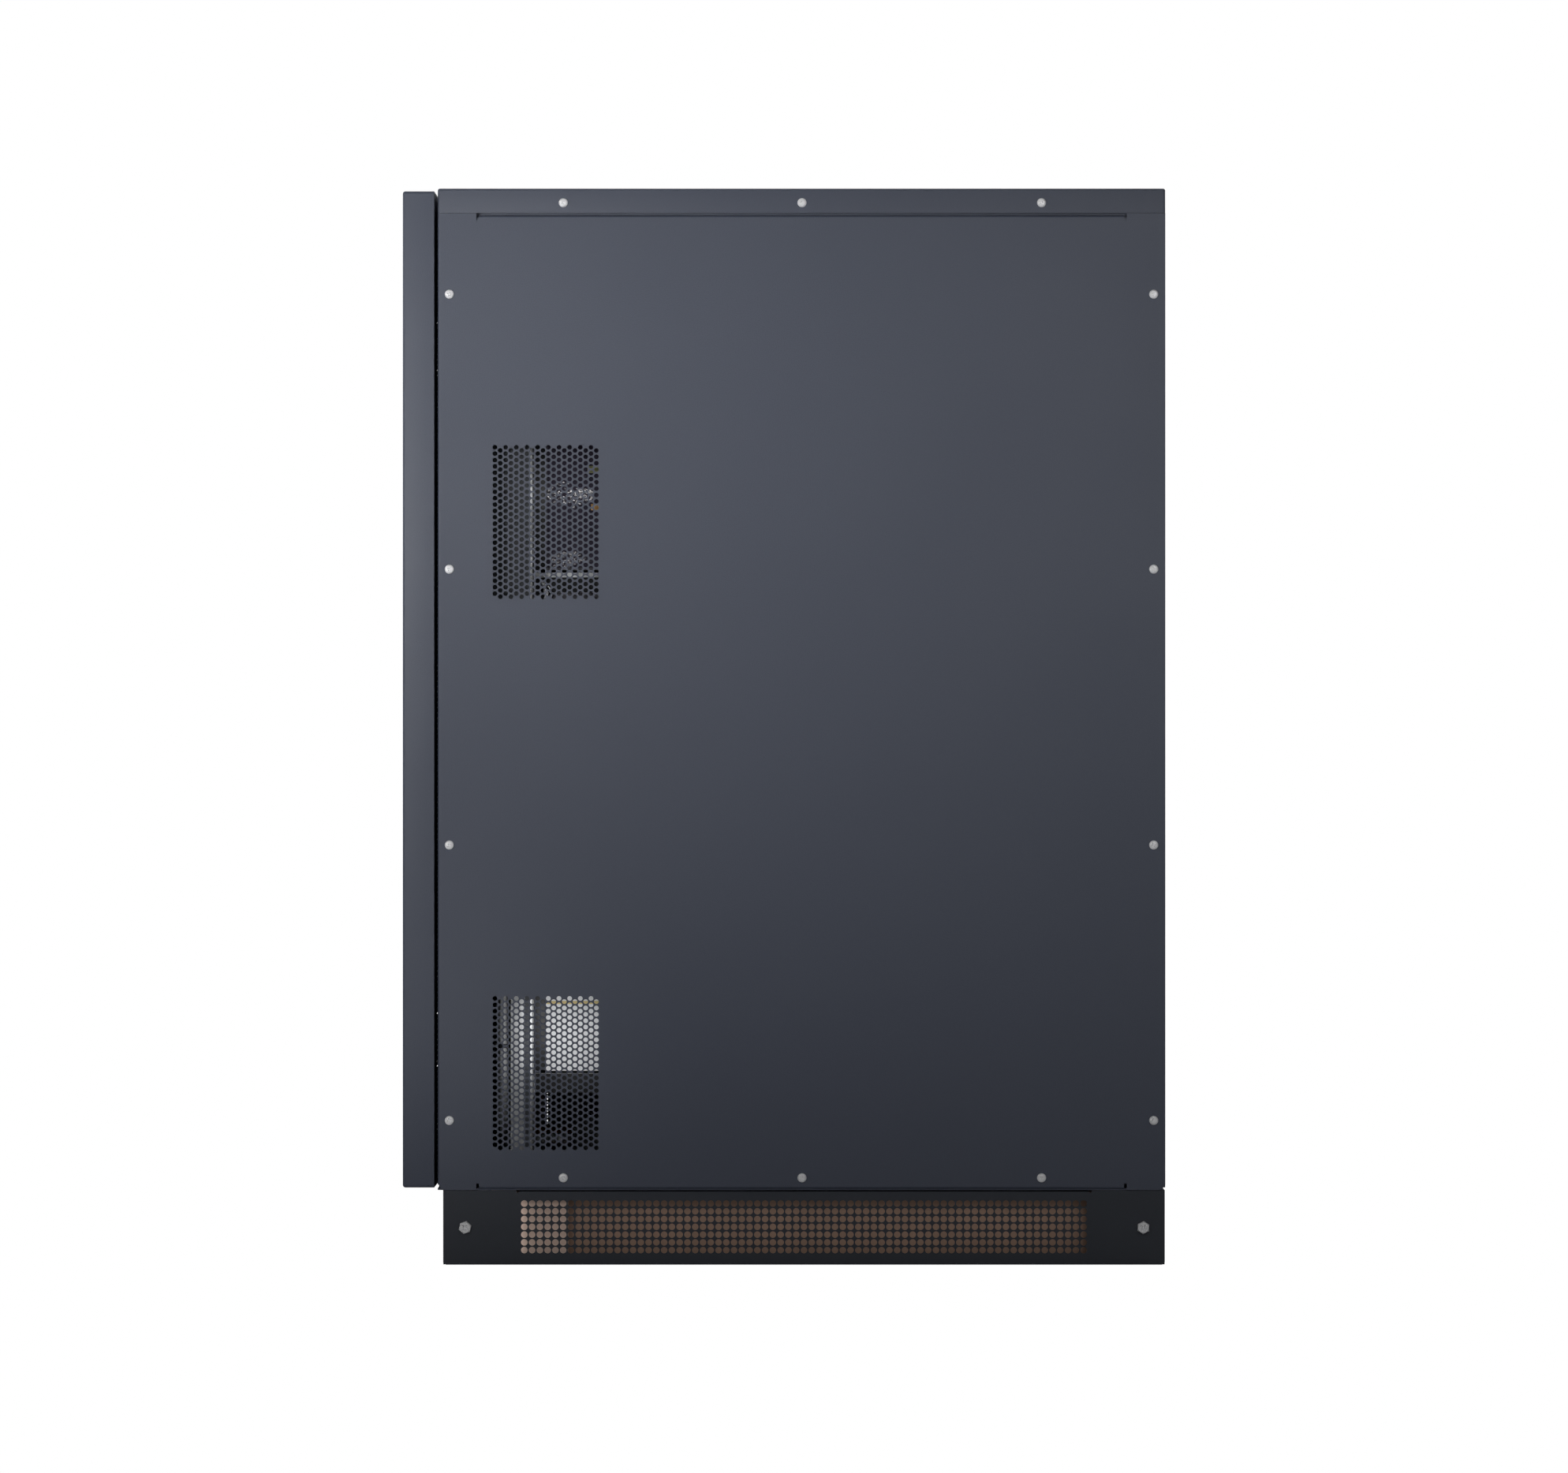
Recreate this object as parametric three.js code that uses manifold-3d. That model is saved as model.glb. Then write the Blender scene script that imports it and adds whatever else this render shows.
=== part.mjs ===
// A floor-standing battery cabinet: folded-sheet body on a plinth, full-height front door with a flush
// latch, and inside it a 19-inch rack with four battery modules, a control unit and their wiring.
// Millimetres. X is the width, Y the depth with the door towards -Y, Z is up. The origin is on the
// floor under the middle of the cabinet.
import * as THREE from "three";
import { mergeVertices } from "three/addons/utils/BufferGeometryUtils.js";
import Module from "manifold-3d";

const wasm = await Module();
wasm.setup();

// ---- Driving dimensions -------------------------------------------------------------------------
const WIDTH = 600;
const DEPTH = 850;
const HEIGHT = 1200;
const SHEET = 2; // sheet thickness
const CLEAR = 0.3; // gap kept between pieces that touch

const DOOR_DEPTH = 35;
const DOOR_GAP = 4; // between the door's rear edge and the body
const DOOR_TOP = HEIGHT - 3;
const PLINTH_HEIGHT = 83;
const PLINTH_SETBACK = 6; // behind the body's front
const COVER_FLANGE = 27.3; // height of the top cover
const CORNER_ZONE = 43; // plain corner of a side panel, beside its folded edge
const EDGE_GAP = 2.7; // dark joint between a side panel and its neighbour
const CHAMFER = 6; // lower corners of a side panel
const FRONT_FLANGE = 34; // side panel turned in behind the door
const HEAD = 2.9; // how far the screw heads stand out from the sides
const SIDE_SCREWS = [140, 406, 673]; // rows of screws, behind the body's front
const EDGE_SCREWS = { inset: 13, heights: [161, 468, 775.5, 1082] };

const POST_LEG = 38;
const RAIL_FACE_Y = -283; // front face of the front rack rails
const REAR_RAIL_Y = 320; // rear face of the rear rack rails
const RAIL_INNER_X = 226;
const FIRST_SHELF = 210; // top face of the lowest shelf
const SHELF_PITCH = 187.7;
const MODULES = 4;

const MODULE_WIDTH = 440;
const MODULE_DEPTH = 560;
const MODULE_HEIGHT = 170;
const BEZEL_DEPTH = 15; // front panel's moulding, between its plate and the case
const EAR_WIDTH = 482; // over the rack ears
const EAR_PLATE = 3;
const MODULE_PANEL = 176; // height of a module's front plate
const CONTROL_PANEL = 132; // height of the control unit's front plate
const CONTROL_DEPTH = 400;

const LATCH = { x: 225, z: 640 };
const ROD_TRAVEL_RADIUS = 12; // pitch radius of the latch pinion
const HINGE = { x: -288, y: -412, heights: [230, 1053] };
const FAN = { z: 1060, size: 120, depth: 38, bore: 57 };

// ---- Derived places -----------------------------------------------------------------------------
const HALF = WIDTH / 2;
const DOOR_FRONT = -DEPTH / 2;
const DOOR_BACK = DOOR_FRONT + DOOR_DEPTH;
const BODY_FRONT = DOOR_BACK + DOOR_GAP;
const BODY_REAR = DEPTH / 2;
const BODY_BOTTOM = PLINTH_HEIGHT + CLEAR;
const FLOOR_TOP = BODY_BOTTOM + SHEET; // inner face of the base plate
const DOOR_BOTTOM = BODY_BOTTOM + EDGE_GAP;
const PANEL_TOP = HEIGHT - COVER_FLANGE - CLEAR;
const INNER = HALF - SHEET - CLEAR; // outermost X of what stands inside the side panels
const INNER_FRONT = BODY_FRONT + SHEET + CLEAR;
const INNER_REAR = BODY_REAR - SHEET - CLEAR;
const TOP_RING = { bottom: 1145, top: 1167.7, width: 40 };
const POST_TOP = TOP_RING.bottom - CLEAR;
const WEB = INNER - POST_LEG; // inner face of a post's web
const OPENING_TOP = 1130; // upper edge of the door opening
const OPENING_BOTTOM = 108; // lower edge of the door opening
const shelfTop = (index) => FIRST_SHELF + index * SHELF_PITCH; // the control unit hangs one pitch higher
const EAR_BACK = RAIL_FACE_Y - CLEAR; // rear face of the plates screwed to the front rails

// ---- Solids -------------------------------------------------------------------------------------
function toSolid(geometry) {
  const bare = geometry.clone();
  bare.deleteAttribute("normal");
  bare.deleteAttribute("uv");
  const merged = mergeVertices(bare, 1e-4);
  return new wasm.Manifold(
    new wasm.Mesh({
      numProp: 3,
      vertProperties: merged.attributes.position.array,
      triVerts: new Uint32Array(merged.index.array),
    }),
  );
}

function toGeometry(solid) {
  const mesh = solid.getMesh();
  const geometry = new THREE.BufferGeometry();
  geometry.setAttribute("position", new THREE.BufferAttribute(mesh.vertProperties, 3));
  geometry.setIndex(new THREE.BufferAttribute(mesh.triVerts, 1));
  geometry.computeVertexNormals();
  return geometry;
}

const join = (...solids) => solids.reduce((whole, next) => whole.add(next));
const cut = (solid, ...tools) => tools.reduce((rest, tool) => rest.subtract(tool), solid);

// Moves each vertex to one of two exact planes along an axis, so that faces meant to be flush are flush.
function snap(geometry, axis, [low, high]) {
  const positions = geometry.getAttribute("position");
  for (let i = 0; i < positions.count; i++) {
    const isHigh = positions.getComponent(i, axis) > (low + high) / 2;
    positions.setComponent(i, axis, isHigh ? high : low);
  }
  return geometry;
}

// A box between two planes along each axis.
function block(...ranges) {
  const box = new THREE.BoxGeometry(...ranges.map(([low, high]) => high - low));
  box.translate(...ranges.map(([low, high]) => (low + high) / 2));
  ranges.forEach((range, axis) => snap(box, axis, range));
  return toSolid(box);
}

// Screw heads of a radius on the right-hand face at a list of (y, z) places.
const heads = (radius, face, places) => places.map(([y, z]) => bar(radius, "x", [y, z], [face - 1, HALF + HEAD], 12));

// The same box on both sides of the middle plane.
const blocks = ([x0, x1], y, z) => [block([x0, x1], y, z), block([-x1, -x0], y, z)];

// An outline of (a, b) points extruded between two planes: (x, y) along Z, (y, z) along X.
const AXES = {
  z: new THREE.Matrix4(),
  x: new THREE.Matrix4().makeBasis(
    new THREE.Vector3(0, 1, 0),
    new THREE.Vector3(0, 0, 1),
    new THREE.Vector3(1, 0, 0),
  ),
};
function prism(points, axis, from, to) {
  const outline = new THREE.Shape(points.map(([a, b]) => new THREE.Vector2(a, b)));
  const bar = new THREE.ExtrudeGeometry(outline, { depth: to - from, bevelEnabled: false });
  snap(bar.translate(0, 0, from), 2, [from, to]);
  return toSolid(bar.applyMatrix4(AXES[axis]));
}

// A round bar along X, Y or Z between two planes; (a, b) are its other two coordinates in order.
function bar(radius, axis, [a, b], [from, to], sides = 16) {
  const round = new THREE.CylinderGeometry(radius, radius, to - from, sides);
  const middle = (from + to) / 2;
  if (axis === "x") round.rotateZ(-Math.PI / 2).translate(middle, a, b);
  if (axis === "y") round.translate(a, middle, b);
  if (axis === "z") round.rotateX(Math.PI / 2).translate(a, b, middle);
  return toSolid(round);
}

// A turned piece about an axis along Y through (x, z); its closed profile is a list of (radius, y).
function turned(profile, { x, z }, sides = 32) {
  const points = [...profile, profile[0]].map(([r, y]) => new THREE.Vector2(r, y));
  return toSolid(new THREE.LatheGeometry(points, sides).translate(x, 0, z));
}

// A round cable along a smooth curve through the points.
function cable(points, radius, steps) {
  const sides = 8;
  const path = new THREE.CatmullRomCurve3(points.map((p) => new THREE.Vector3(...p)), false, "centripetal");
  const ring = Array.from({ length: sides }, (_, i) => {
    const turn = (2 * Math.PI * i) / sides;
    return new THREE.Vector2(radius * Math.cos(turn), radius * Math.sin(turn));
  });
  return toSolid(new THREE.ExtrudeGeometry(new THREE.Shape(ring), { extrudePath: path, steps }));
}

// ---- Finishes -----------------------------------------------------------------------------------
const FINISH = {
  slate: { color: 0x4c515b, roughness: 0.55, metalness: 0.2 },
  plinth: { color: 0x26292f, roughness: 0.6, metalness: 0.2 },
  zinc: { color: 0x9a9c9e, roughness: 0.4, metalness: 0.9 },
  steel: { color: 0xb4b6b8, roughness: 0.3, metalness: 1.0 },
  white: { color: 0xc9cbcc, roughness: 0.5, metalness: 0.1 },
  black: { color: 0x17181a, roughness: 0.5, metalness: 0.0 },
  cells: { color: 0x24466e, roughness: 0.5, metalness: 0.0 },
  rubber: { color: 0x101112, roughness: 0.9, metalness: 0.0 },
  copper: { color: 0xb8703c, roughness: 0.35, metalness: 1.0 },
  orange: { color: 0xd9581a, roughness: 0.5, metalness: 0.0 },
  grey: { color: 0xa9abac, roughness: 0.6, metalness: 0.0 },
  green: { color: 0x2f9a4a, roughness: 0.4, metalness: 0.0 },
};

const cabinet = new THREE.Group();

function add(name, solid, finish, parent = cabinet) {
  const mesh = new THREE.Mesh(toGeometry(solid), new THREE.MeshStandardMaterial(FINISH[finish]));
  mesh.name = name;
  parent.add(mesh);
  return mesh;
}

// A piece made for the right-hand side, and its mirror image on the left.
function addPair(name, solid, finish) {
  add(`${name}_right`, solid, finish);
  add(`${name}_left`, solid, finish).scale.x = -1;
}

// ---- Plinth -------------------------------------------------------------------------------------
function plinth() {
  const outer = HALF - SHEET;
  const front = BODY_FRONT + PLINTH_SETBACK;
  const rear = BODY_REAR - 0.5;
  const returnDepth = 48; // tabs of the front and rear pieces behind the side plates
  const flange = 30;
  const plate = [outer - SHEET, outer];
  const lip = [outer - flange, outer - SHEET / 2];
  const lipY = [front + returnDepth + 4, rear - returnDepth - 4];
  const side = join(
    block(plate, [front, rear], [0, PLINTH_HEIGHT]),
    block(lip, lipY, [0, SHEET]),
    block(lip, lipY, [PLINTH_HEIGHT - SHEET, PLINTH_HEIGHT]),
    ...heads(7, outer, [front + 24.5, rear - 24.5].map((y) => [y, PLINTH_HEIGHT / 2])),
  );
  addPair("plinth_side", side, "plinth");

  const inner = outer - SHEET - CLEAR;
  const end = (face, inward) => {
    const at = (depth) => face + inward * depth;
    const outline = [
      [-inner, at(returnDepth)],
      [-inner, face],
      [inner, face],
      [inner, at(returnDepth)],
      [inner - SHEET, at(returnDepth)],
      [inner - SHEET, at(SHEET)],
      [-inner + SHEET, at(SHEET)],
      [-inner + SHEET, at(returnDepth)],
    ];
    const lipY = [at(SHEET / 2), at(flange)].sort((a, b) => a - b);
    const lips = [0, PLINTH_HEIGHT - SHEET].map((z) => {
      return block([-inner + flange, inner - flange], lipY, [z, z + SHEET]);
    });
    return join(prism(outline, "z", 0, PLINTH_HEIGHT), ...lips);
  };
  add("plinth_front", end(front, 1), "plinth");
  add("plinth_rear", end(rear, -1), "plinth");
}

// ---- Frame --------------------------------------------------------------------------------------
function baseFrame() {
  const cableHole = block([-150, 150], [-365, -285], [BODY_BOTTOM - 1, FLOOR_TOP + 1]);
  const webTop = 105;
  const frame = join(
    block([-INNER, INNER], [BODY_FRONT, INNER_REAR], [BODY_BOTTOM, FLOOR_TOP]),
    block(
      [-HALF + FRONT_FLANGE + CLEAR, HALF - FRONT_FLANGE - CLEAR],
      [BODY_FRONT, BODY_FRONT + SHEET],
      [BODY_BOTTOM, OPENING_BOTTOM],
    ),
    ...blocks([279, 279 + SHEET], [BODY_FRONT + CORNER_ZONE, BODY_REAR - CORNER_ZONE], [BODY_BOTTOM, webTop]),
    block([-250, 250], [404, 404 + SHEET], [BODY_BOTTOM, webTop]),
  );
  add("base_frame", cut(frame, cableHole), "slate");

  const holes = [-120, -60, 0, 60, 120].map((x) => bar(12.5, "z", [x, -325], [80, 95]));
  const plate = block([-165, 165], [-378, -272], [FLOOR_TOP + CLEAR, FLOOR_TOP + CLEAR + 3]);
  add("gland_plate", cut(plate, ...holes), "zinc");
}

// A rectangular ring: its outer faces, the width of its members and its height.
function ring(halfX, [y0, y1], width, z) {
  return cut(
    block([-halfX, halfX], [y0, y1], z),
    block([-halfX + width, halfX - width], [y0 + width, y1 - width], [z[0] - 1, z[1] + 1]),
  );
}

function topFrame() {
  const { bottom, top, width } = TOP_RING;
  const groove = ring(INNER - SHEET, [INNER_FRONT + SHEET, INNER_REAR - SHEET], width - 2 * SHEET, [
    bottom + SHEET,
    top + 1,
  ]);
  const channel = cut(ring(INNER, [INNER_FRONT, INNER_REAR], width, [bottom, top]), groove);
  const setIn = 8; // the upstand that carries the cover stands this far inside the channel's outer wall
  const upstand = ring(INNER - setIn, [INNER_FRONT + setIn, INNER_REAR - setIn], SHEET, [bottom, 1194]);
  const lipX = HALF - FRONT_FLANGE - CLEAR;
  const lip = block([-lipX, lipX], [BODY_FRONT, BODY_FRONT + SHEET], [OPENING_TOP, PANEL_TOP - 1]);
  const seam = block([-lipX, lipX], [BODY_FRONT, INNER_FRONT + SHEET], [bottom, top]);
  add("top_frame", join(channel, upstand, lip, seam), "slate");
}

// A post is folded four times: side leg, end leg, and a web that runs in to the rack rail.
function post(end, webEnd) {
  const inward = Math.sign(webEnd - end);
  const outline = [
    [INNER, end + inward * POST_LEG],
    [INNER, end],
    [WEB, end],
    [WEB, webEnd],
    [WEB + SHEET, webEnd],
    [WEB + SHEET, end + inward * SHEET],
    [INNER - SHEET, end + inward * SHEET],
    [INNER - SHEET, end + inward * POST_LEG],
  ];
  return prism(outline, "z", FLOOR_TOP + CLEAR, POST_TOP);
}

function posts() {
  const cableWindow = block([WEB - 1, WEB + SHEET + 1], [-340, -290], [115, 330]);
  addPair("corner_post_front", cut(post(INNER_FRONT, RAIL_FACE_Y - 1.7), cableWindow), "slate");
  addPair("corner_post_rear", post(INNER_REAR, REAR_RAIL_Y + 1.7), "slate");
}

function rackRails() {
  const x = WEB - CLEAR;
  const z = [FLOOR_TOP + CLEAR, POST_TOP];
  const rail = (face, inward, foldDepth) => {
    const from = (depth) => [face, face + inward * depth].sort((a, b) => a - b);
    return join(block([RAIL_INNER_X, x], from(SHEET), z), block([x - SHEET, x], from(-foldDepth), z));
  };
  const front = join(rail(RAIL_FACE_Y, 1, 25), block([x - SHEET, x], [RAIL_FACE_Y - 1, RAIL_FACE_Y + 1], z));
  const rear = join(rail(REAR_RAIL_Y, -1, 30), block([x - SHEET, x], [REAR_RAIL_Y - 1, REAR_RAIL_Y + 1], z));
  addPair("rack_rail_front", front, "zinc");
  addPair("rack_rail_rear", rear, "zinc");
}

// ---- Body panels --------------------------------------------------------------------------------
function sidePanels() {
  const low = BODY_BOTTOM;
  const notch = { width: 3, depth: 6 };
  const foldFront = BODY_FRONT + CORNER_ZONE;
  const foldRear = BODY_REAR - CORNER_ZONE;
  const edgeTop = HEIGHT - COVER_FLANGE - EDGE_GAP;
  const edgeBottom = DOOR_BOTTOM;
  const sheetOutline = [
    [BODY_FRONT + CHAMFER, low],
    [foldFront, low],
    [foldFront, edgeBottom + notch.depth],
    [foldFront + notch.width, edgeBottom + notch.depth],
    [foldFront + notch.width, edgeBottom],
    [foldRear - notch.width, edgeBottom],
    [foldRear - notch.width, edgeBottom + notch.depth],
    [foldRear, edgeBottom + notch.depth],
    [foldRear, low],
    [BODY_REAR - CHAMFER, low],
    [BODY_REAR, low + CHAMFER],
    [BODY_REAR, PANEL_TOP],
    [foldRear, PANEL_TOP],
    [foldRear, edgeTop - notch.depth],
    [foldRear - notch.width, edgeTop - notch.depth],
    [foldRear - notch.width, edgeTop],
    [foldFront + notch.width, edgeTop],
    [foldFront + notch.width, edgeTop - notch.depth],
    [foldFront, edgeTop - notch.depth],
    [foldFront, PANEL_TOP],
    [BODY_FRONT, PANEL_TOP],
    [BODY_FRONT, low + CHAMFER],
  ];
  const fold = 8; // width of the turned-in upper and lower edges
  const foldX = [HALF - SHEET - fold, HALF - SHEET / 2];
  const foldY = [foldFront + notch.width, foldRear - notch.width];
  const panel = join(
    prism(sheetOutline, "x", HALF - SHEET, HALF),
    block(foldX, foldY, [edgeTop - SHEET, edgeTop]),
    block(foldX, foldY, [edgeBottom, edgeBottom + SHEET]),
    block(
      [HALF - FRONT_FLANGE, HALF - SHEET / 2],
      [BODY_FRONT, BODY_FRONT + SHEET],
      [low + CHAMFER, PANEL_TOP - 1],
    ),
    ...heads(5, HALF, [
      ...SIDE_SCREWS.map((y) => [BODY_FRONT + y, 97]),
      ...EDGE_SCREWS.heights.flatMap((z) => {
        return [BODY_FRONT, BODY_REAR].map((y) => [y - Math.sign(y) * EDGE_SCREWS.inset, z]);
      }),
    ]),
  );
  addPair("side_panel", panel, "slate");
}

function rearPanel() {
  const plate = block([-INNER, INNER], [BODY_REAR - SHEET, BODY_REAR], [DOOR_BOTTOM, 1170]);
  const airHole = bar(FAN.bore - 1, "y", [0, FAN.z], [BODY_REAR - 5, BODY_REAR + 5], 24);
  add("rear_panel", cut(plate, airHole), "slate");
}

function topCover() {
  const z = [HEIGHT - COVER_FLANGE, HEIGHT];
  const hollow = block(
    [-HALF + SHEET, HALF - SHEET],
    [BODY_FRONT + SHEET, BODY_REAR - SHEET],
    [z[0] - 1, HEIGHT - SHEET],
  );
  const shell = cut(block([-HALF, HALF], [BODY_FRONT, BODY_REAR], z), hollow);
  const right = heads(5, HALF, SIDE_SCREWS.map((y) => [BODY_FRONT + y, z[0] + 11.3]));
  const left = right.map((head) => head.mirror([1, 0, 0]));
  add("top_cover", join(shell, ...right, ...left), "slate");
}

// ---- Rack: shelves, battery modules, control unit --------------------------------------------------
function shelf(index) {
  const top = shelfTop(index);
  const frontY = EAR_BACK - SHEET;
  const rearY = REAR_RAIL_Y + CLEAR + SHEET;
  const halfTray = MODULE_WIDTH / 2 + 2;
  const ear = [top - 9, top];
  const tray = join(
    block([-halfTray, halfTray], [frontY, rearY], [top - SHEET, top]),
    ...blocks([halfTray - SHEET, halfTray], [EAR_BACK + CLEAR, rearY], [top - 22, top]),
    ...blocks([halfTray - SHEET, 253], [frontY, EAR_BACK], ear),
    ...blocks([halfTray - SHEET, 253], [rearY - SHEET, rearY], ear),
    block([-halfTray, halfTray], [frontY, EAR_BACK], ear),
  );
  add(`shelf_${index + 1}`, tray, "zinc");
}

// A steel case, open at the front: its width is the module's, and it stands 3 mm off its shelf.
function unitCase(height, depth) {
  const half = MODULE_WIDTH / 2;
  const wall = 1.5;
  const front = BEZEL_DEPTH + CLEAR;
  const shell = block([-half, half], [front, depth], [3, 3 + height]);
  const hollow = block([-half + wall, half - wall], [front - 1, depth - wall], [3 + wall, 3 + height - wall]);
  return cut(shell, hollow);
}

// A front panel: plate with rack ears, moulding behind it, and two bow handles.
function unitPanel(height) {
  const half = EAR_WIDTH / 2;
  const z0 = 1.5;
  const bezel = MODULE_WIDTH / 2 - 1;
  const handle = { x: 205, reach: 35, half: 40, thick: 8 };
  const middle = z0 + height / 2;
  const handleX = [handle.x - handle.thick / 2, handle.x + handle.thick / 2];
  const handleY = [-EAR_PLATE - handle.reach, -1];
  const legs = [middle - handle.half, middle + handle.half - handle.thick].map((z) => {
    return join(...blocks(handleX, handleY, [z, z + handle.thick]));
  });
  const gripY = [handleY[0], handleY[0] + handle.thick];
  return join(
    block([-half, half], [-EAR_PLATE, 0], [z0, z0 + height]),
    block([-bezel, bezel], [-1, BEZEL_DEPTH], [z0 + 2, z0 + height - 6]),
    ...legs,
    ...blocks(handleX, gripY, [middle - handle.half, middle + handle.half]),
  );
}

// A unit's group stands with its origin on its shelf, in the plane of the plate's rear face.
function unitGroup(index) {
  const group = new THREE.Group();
  group.position.set(0, EAR_BACK, shelfTop(index));
  cabinet.add(group);
  return group;
}

function batteryModule(index) {
  const group = unitGroup(index);
  const name = `battery_module_${index + 1}`;
  const cells = block([-212, 212], [26, MODULE_DEPTH - 20], [6, MODULE_HEIGHT - 6]);
  add(`${name}_case`, unitCase(MODULE_HEIGHT, MODULE_DEPTH), "white", group);
  add(`${name}_cells`, cells, "cells", group);
  add(`${name}_front`, unitPanel(MODULE_PANEL), "black", group);
}

const BREAKER = { x: -20, z: 72, halfWidth: 36, noseHalf: 22, pivotY: -1, tilt: THREE.MathUtils.degToRad(25) };
const BUTTON = { x: 60, z: 88, radius: 8 };

function controlUnit() {
  const group = unitGroup(MODULES);
  const { x, z, halfWidth, noseHalf, pivotY, tilt } = BREAKER;
  const wide = (extra) => [x - halfWidth - extra, x + halfWidth + extra];
  const tall = (extra) => [z - noseHalf - extra, z + noseHalf + extra];
  const through = [-EAR_PLATE - 1, BEZEL_DEPTH + 1];
  const panel = cut(
    unitPanel(CONTROL_PANEL),
    block(wide(0.4), through, tall(0.4)),
    bar(BUTTON.radius + 0.4, "y", [BUTTON.x, BUTTON.z], through),
  );
  add("control_unit_case", unitCase(126, CONTROL_DEPTH), "white", group);
  add("control_unit_front", panel, "black", group);

  const nose = -EAR_PLATE - 5;
  const slot = { halfWidth: 20, halfHeight: 15, depth: 17 };
  const breaker = cut(
    join(block(wide(0), [nose, 22], tall(0)), block(wide(0), [BEZEL_DEPTH + 5, 85], [z - 42, z + 42])),
    block(
      [x - slot.halfWidth, x + slot.halfWidth],
      [nose - 1, nose + slot.depth],
      [z - slot.halfHeight, z + slot.halfHeight],
    ),
  );
  add("main_breaker", breaker, "black", group);

  // The toggle rests tipped down, in its off position; it pivots about X.
  const toggle = new THREE.Group();
  toggle.position.set(x, pivotY, z);
  toggle.rotation.x = tilt;
  group.add(toggle);
  const grip = block([-15, 15], [-19, 0], [-2.5, 2.5]);
  add("breaker_toggle", join(bar(6, "x", [0, 0], [-18, 18]), grip), "black", toggle);

  const cap = bar(BUTTON.radius, "y", [BUTTON.x, BUTTON.z], [-EAR_PLATE - 4, BEZEL_DEPTH - 4]);
  add("start_button", cap, "green", group);
}

// ---- Wiring ---------------------------------------------------------------------------------------
const PLUG_Y = EAR_BACK - EAR_PLATE - 12; // centre plane of the plugs, in front of the plates
const NEGATIVE_X = 110;
const POSITIVE_X = 150;
const MODULE_SOCKET = 130; // height of the sockets above the shelf
const CONTROL_SOCKET = 40;
const PLUG_HALF = 10;
const CABLE_RADIUS = 4.5;
const OUTPUT_RADIUS = 5.7;

const socketHeight = (index) => shelfTop(index) + (index < MODULES ? MODULE_SOCKET : CONTROL_SOCKET);

// An angled plug on a front plate, turned up or down, and the place where its cable starts.
function plug(x, index) {
  const z = socketHeight(index);
  const front = EAR_BACK - EAR_PLATE - CLEAR;
  return block([x - PLUG_HALF, x + PLUG_HALF], [PLUG_Y - PLUG_HALF, front], [z - PLUG_HALF, z + PLUG_HALF]);
}

function moduleLinks() {
  for (let lower = 0; lower < MODULES - 1; lower++) {
    const top = socketHeight(lower + 1) - PLUG_HALF + 1;
    const bottom = socketHeight(lower) + PLUG_HALF - 1;
    const route = [
      [NEGATIVE_X, PLUG_Y, top],
      [NEGATIVE_X, PLUG_Y, top - 30],
      [(NEGATIVE_X + POSITIVE_X) / 2, PLUG_Y - 4, (top + bottom) / 2],
      [POSITIVE_X, PLUG_Y, bottom + 30],
      [POSITIVE_X, PLUG_Y, bottom],
    ];
    const link = join(cable(route, CABLE_RADIUS, 20), plug(NEGATIVE_X, lower + 1), plug(POSITIVE_X, lower));
    add(`link_cable_${lower + 1}`, link, "orange");
  }
}

function stringCables() {
  const column = { x: 249, y: PLUG_Y + 1 }; // beside the rack ears
  const controlX = { plus: 110, minus: 180 };
  const controlZ = socketHeight(MODULES) - PLUG_HALF + 1;
  const topModule = socketHeight(MODULES - 1) + PLUG_HALF - 1;
  const positive = [
    [POSITIVE_X, PLUG_Y, topModule],
    [POSITIVE_X, PLUG_Y, topModule + 16],
    [(POSITIVE_X + controlX.plus) / 2, PLUG_Y, (topModule + controlZ) / 2],
    [controlX.plus, PLUG_Y, controlZ - 16],
    [controlX.plus, PLUG_Y, controlZ],
  ];
  add(
    "string_cable_positive",
    join(
      cable(positive, CABLE_RADIUS, 16),
      plug(POSITIVE_X, MODULES - 1),
      plug(controlX.plus, MODULES),
    ),
    "orange",
  );

  const start = socketHeight(0) - PLUG_HALF + 1;
  const low = FIRST_SHELF + 24;
  const negative = [
    [NEGATIVE_X, PLUG_Y, start],
    [NEGATIVE_X, PLUG_Y, start - 55],
    [NEGATIVE_X + 20, PLUG_Y, low + 12],
    [NEGATIVE_X + 50, PLUG_Y, low],
    [column.x - 35, column.y, low],
    [column.x - 9, column.y, low + 14],
    [column.x, column.y, low + 50],
    [column.x, column.y, low + 110],
    [column.x, column.y, 600],
    [column.x, column.y, controlZ - 120],
    [column.x, column.y, controlZ - 60],
    [column.x - 8, column.y, controlZ - 32],
    [column.x - 35, column.y, controlZ - 24],
    [controlX.minus + 8, PLUG_Y, controlZ - 20],
    [controlX.minus, PLUG_Y, controlZ - 6],
    [controlX.minus, PLUG_Y, controlZ],
  ];
  add(
    "string_cable_negative",
    join(cable(negative, CABLE_RADIUS, 56), plug(NEGATIVE_X, 0), plug(controlX.minus, MODULES)),
    "black",
  );
}

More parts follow.
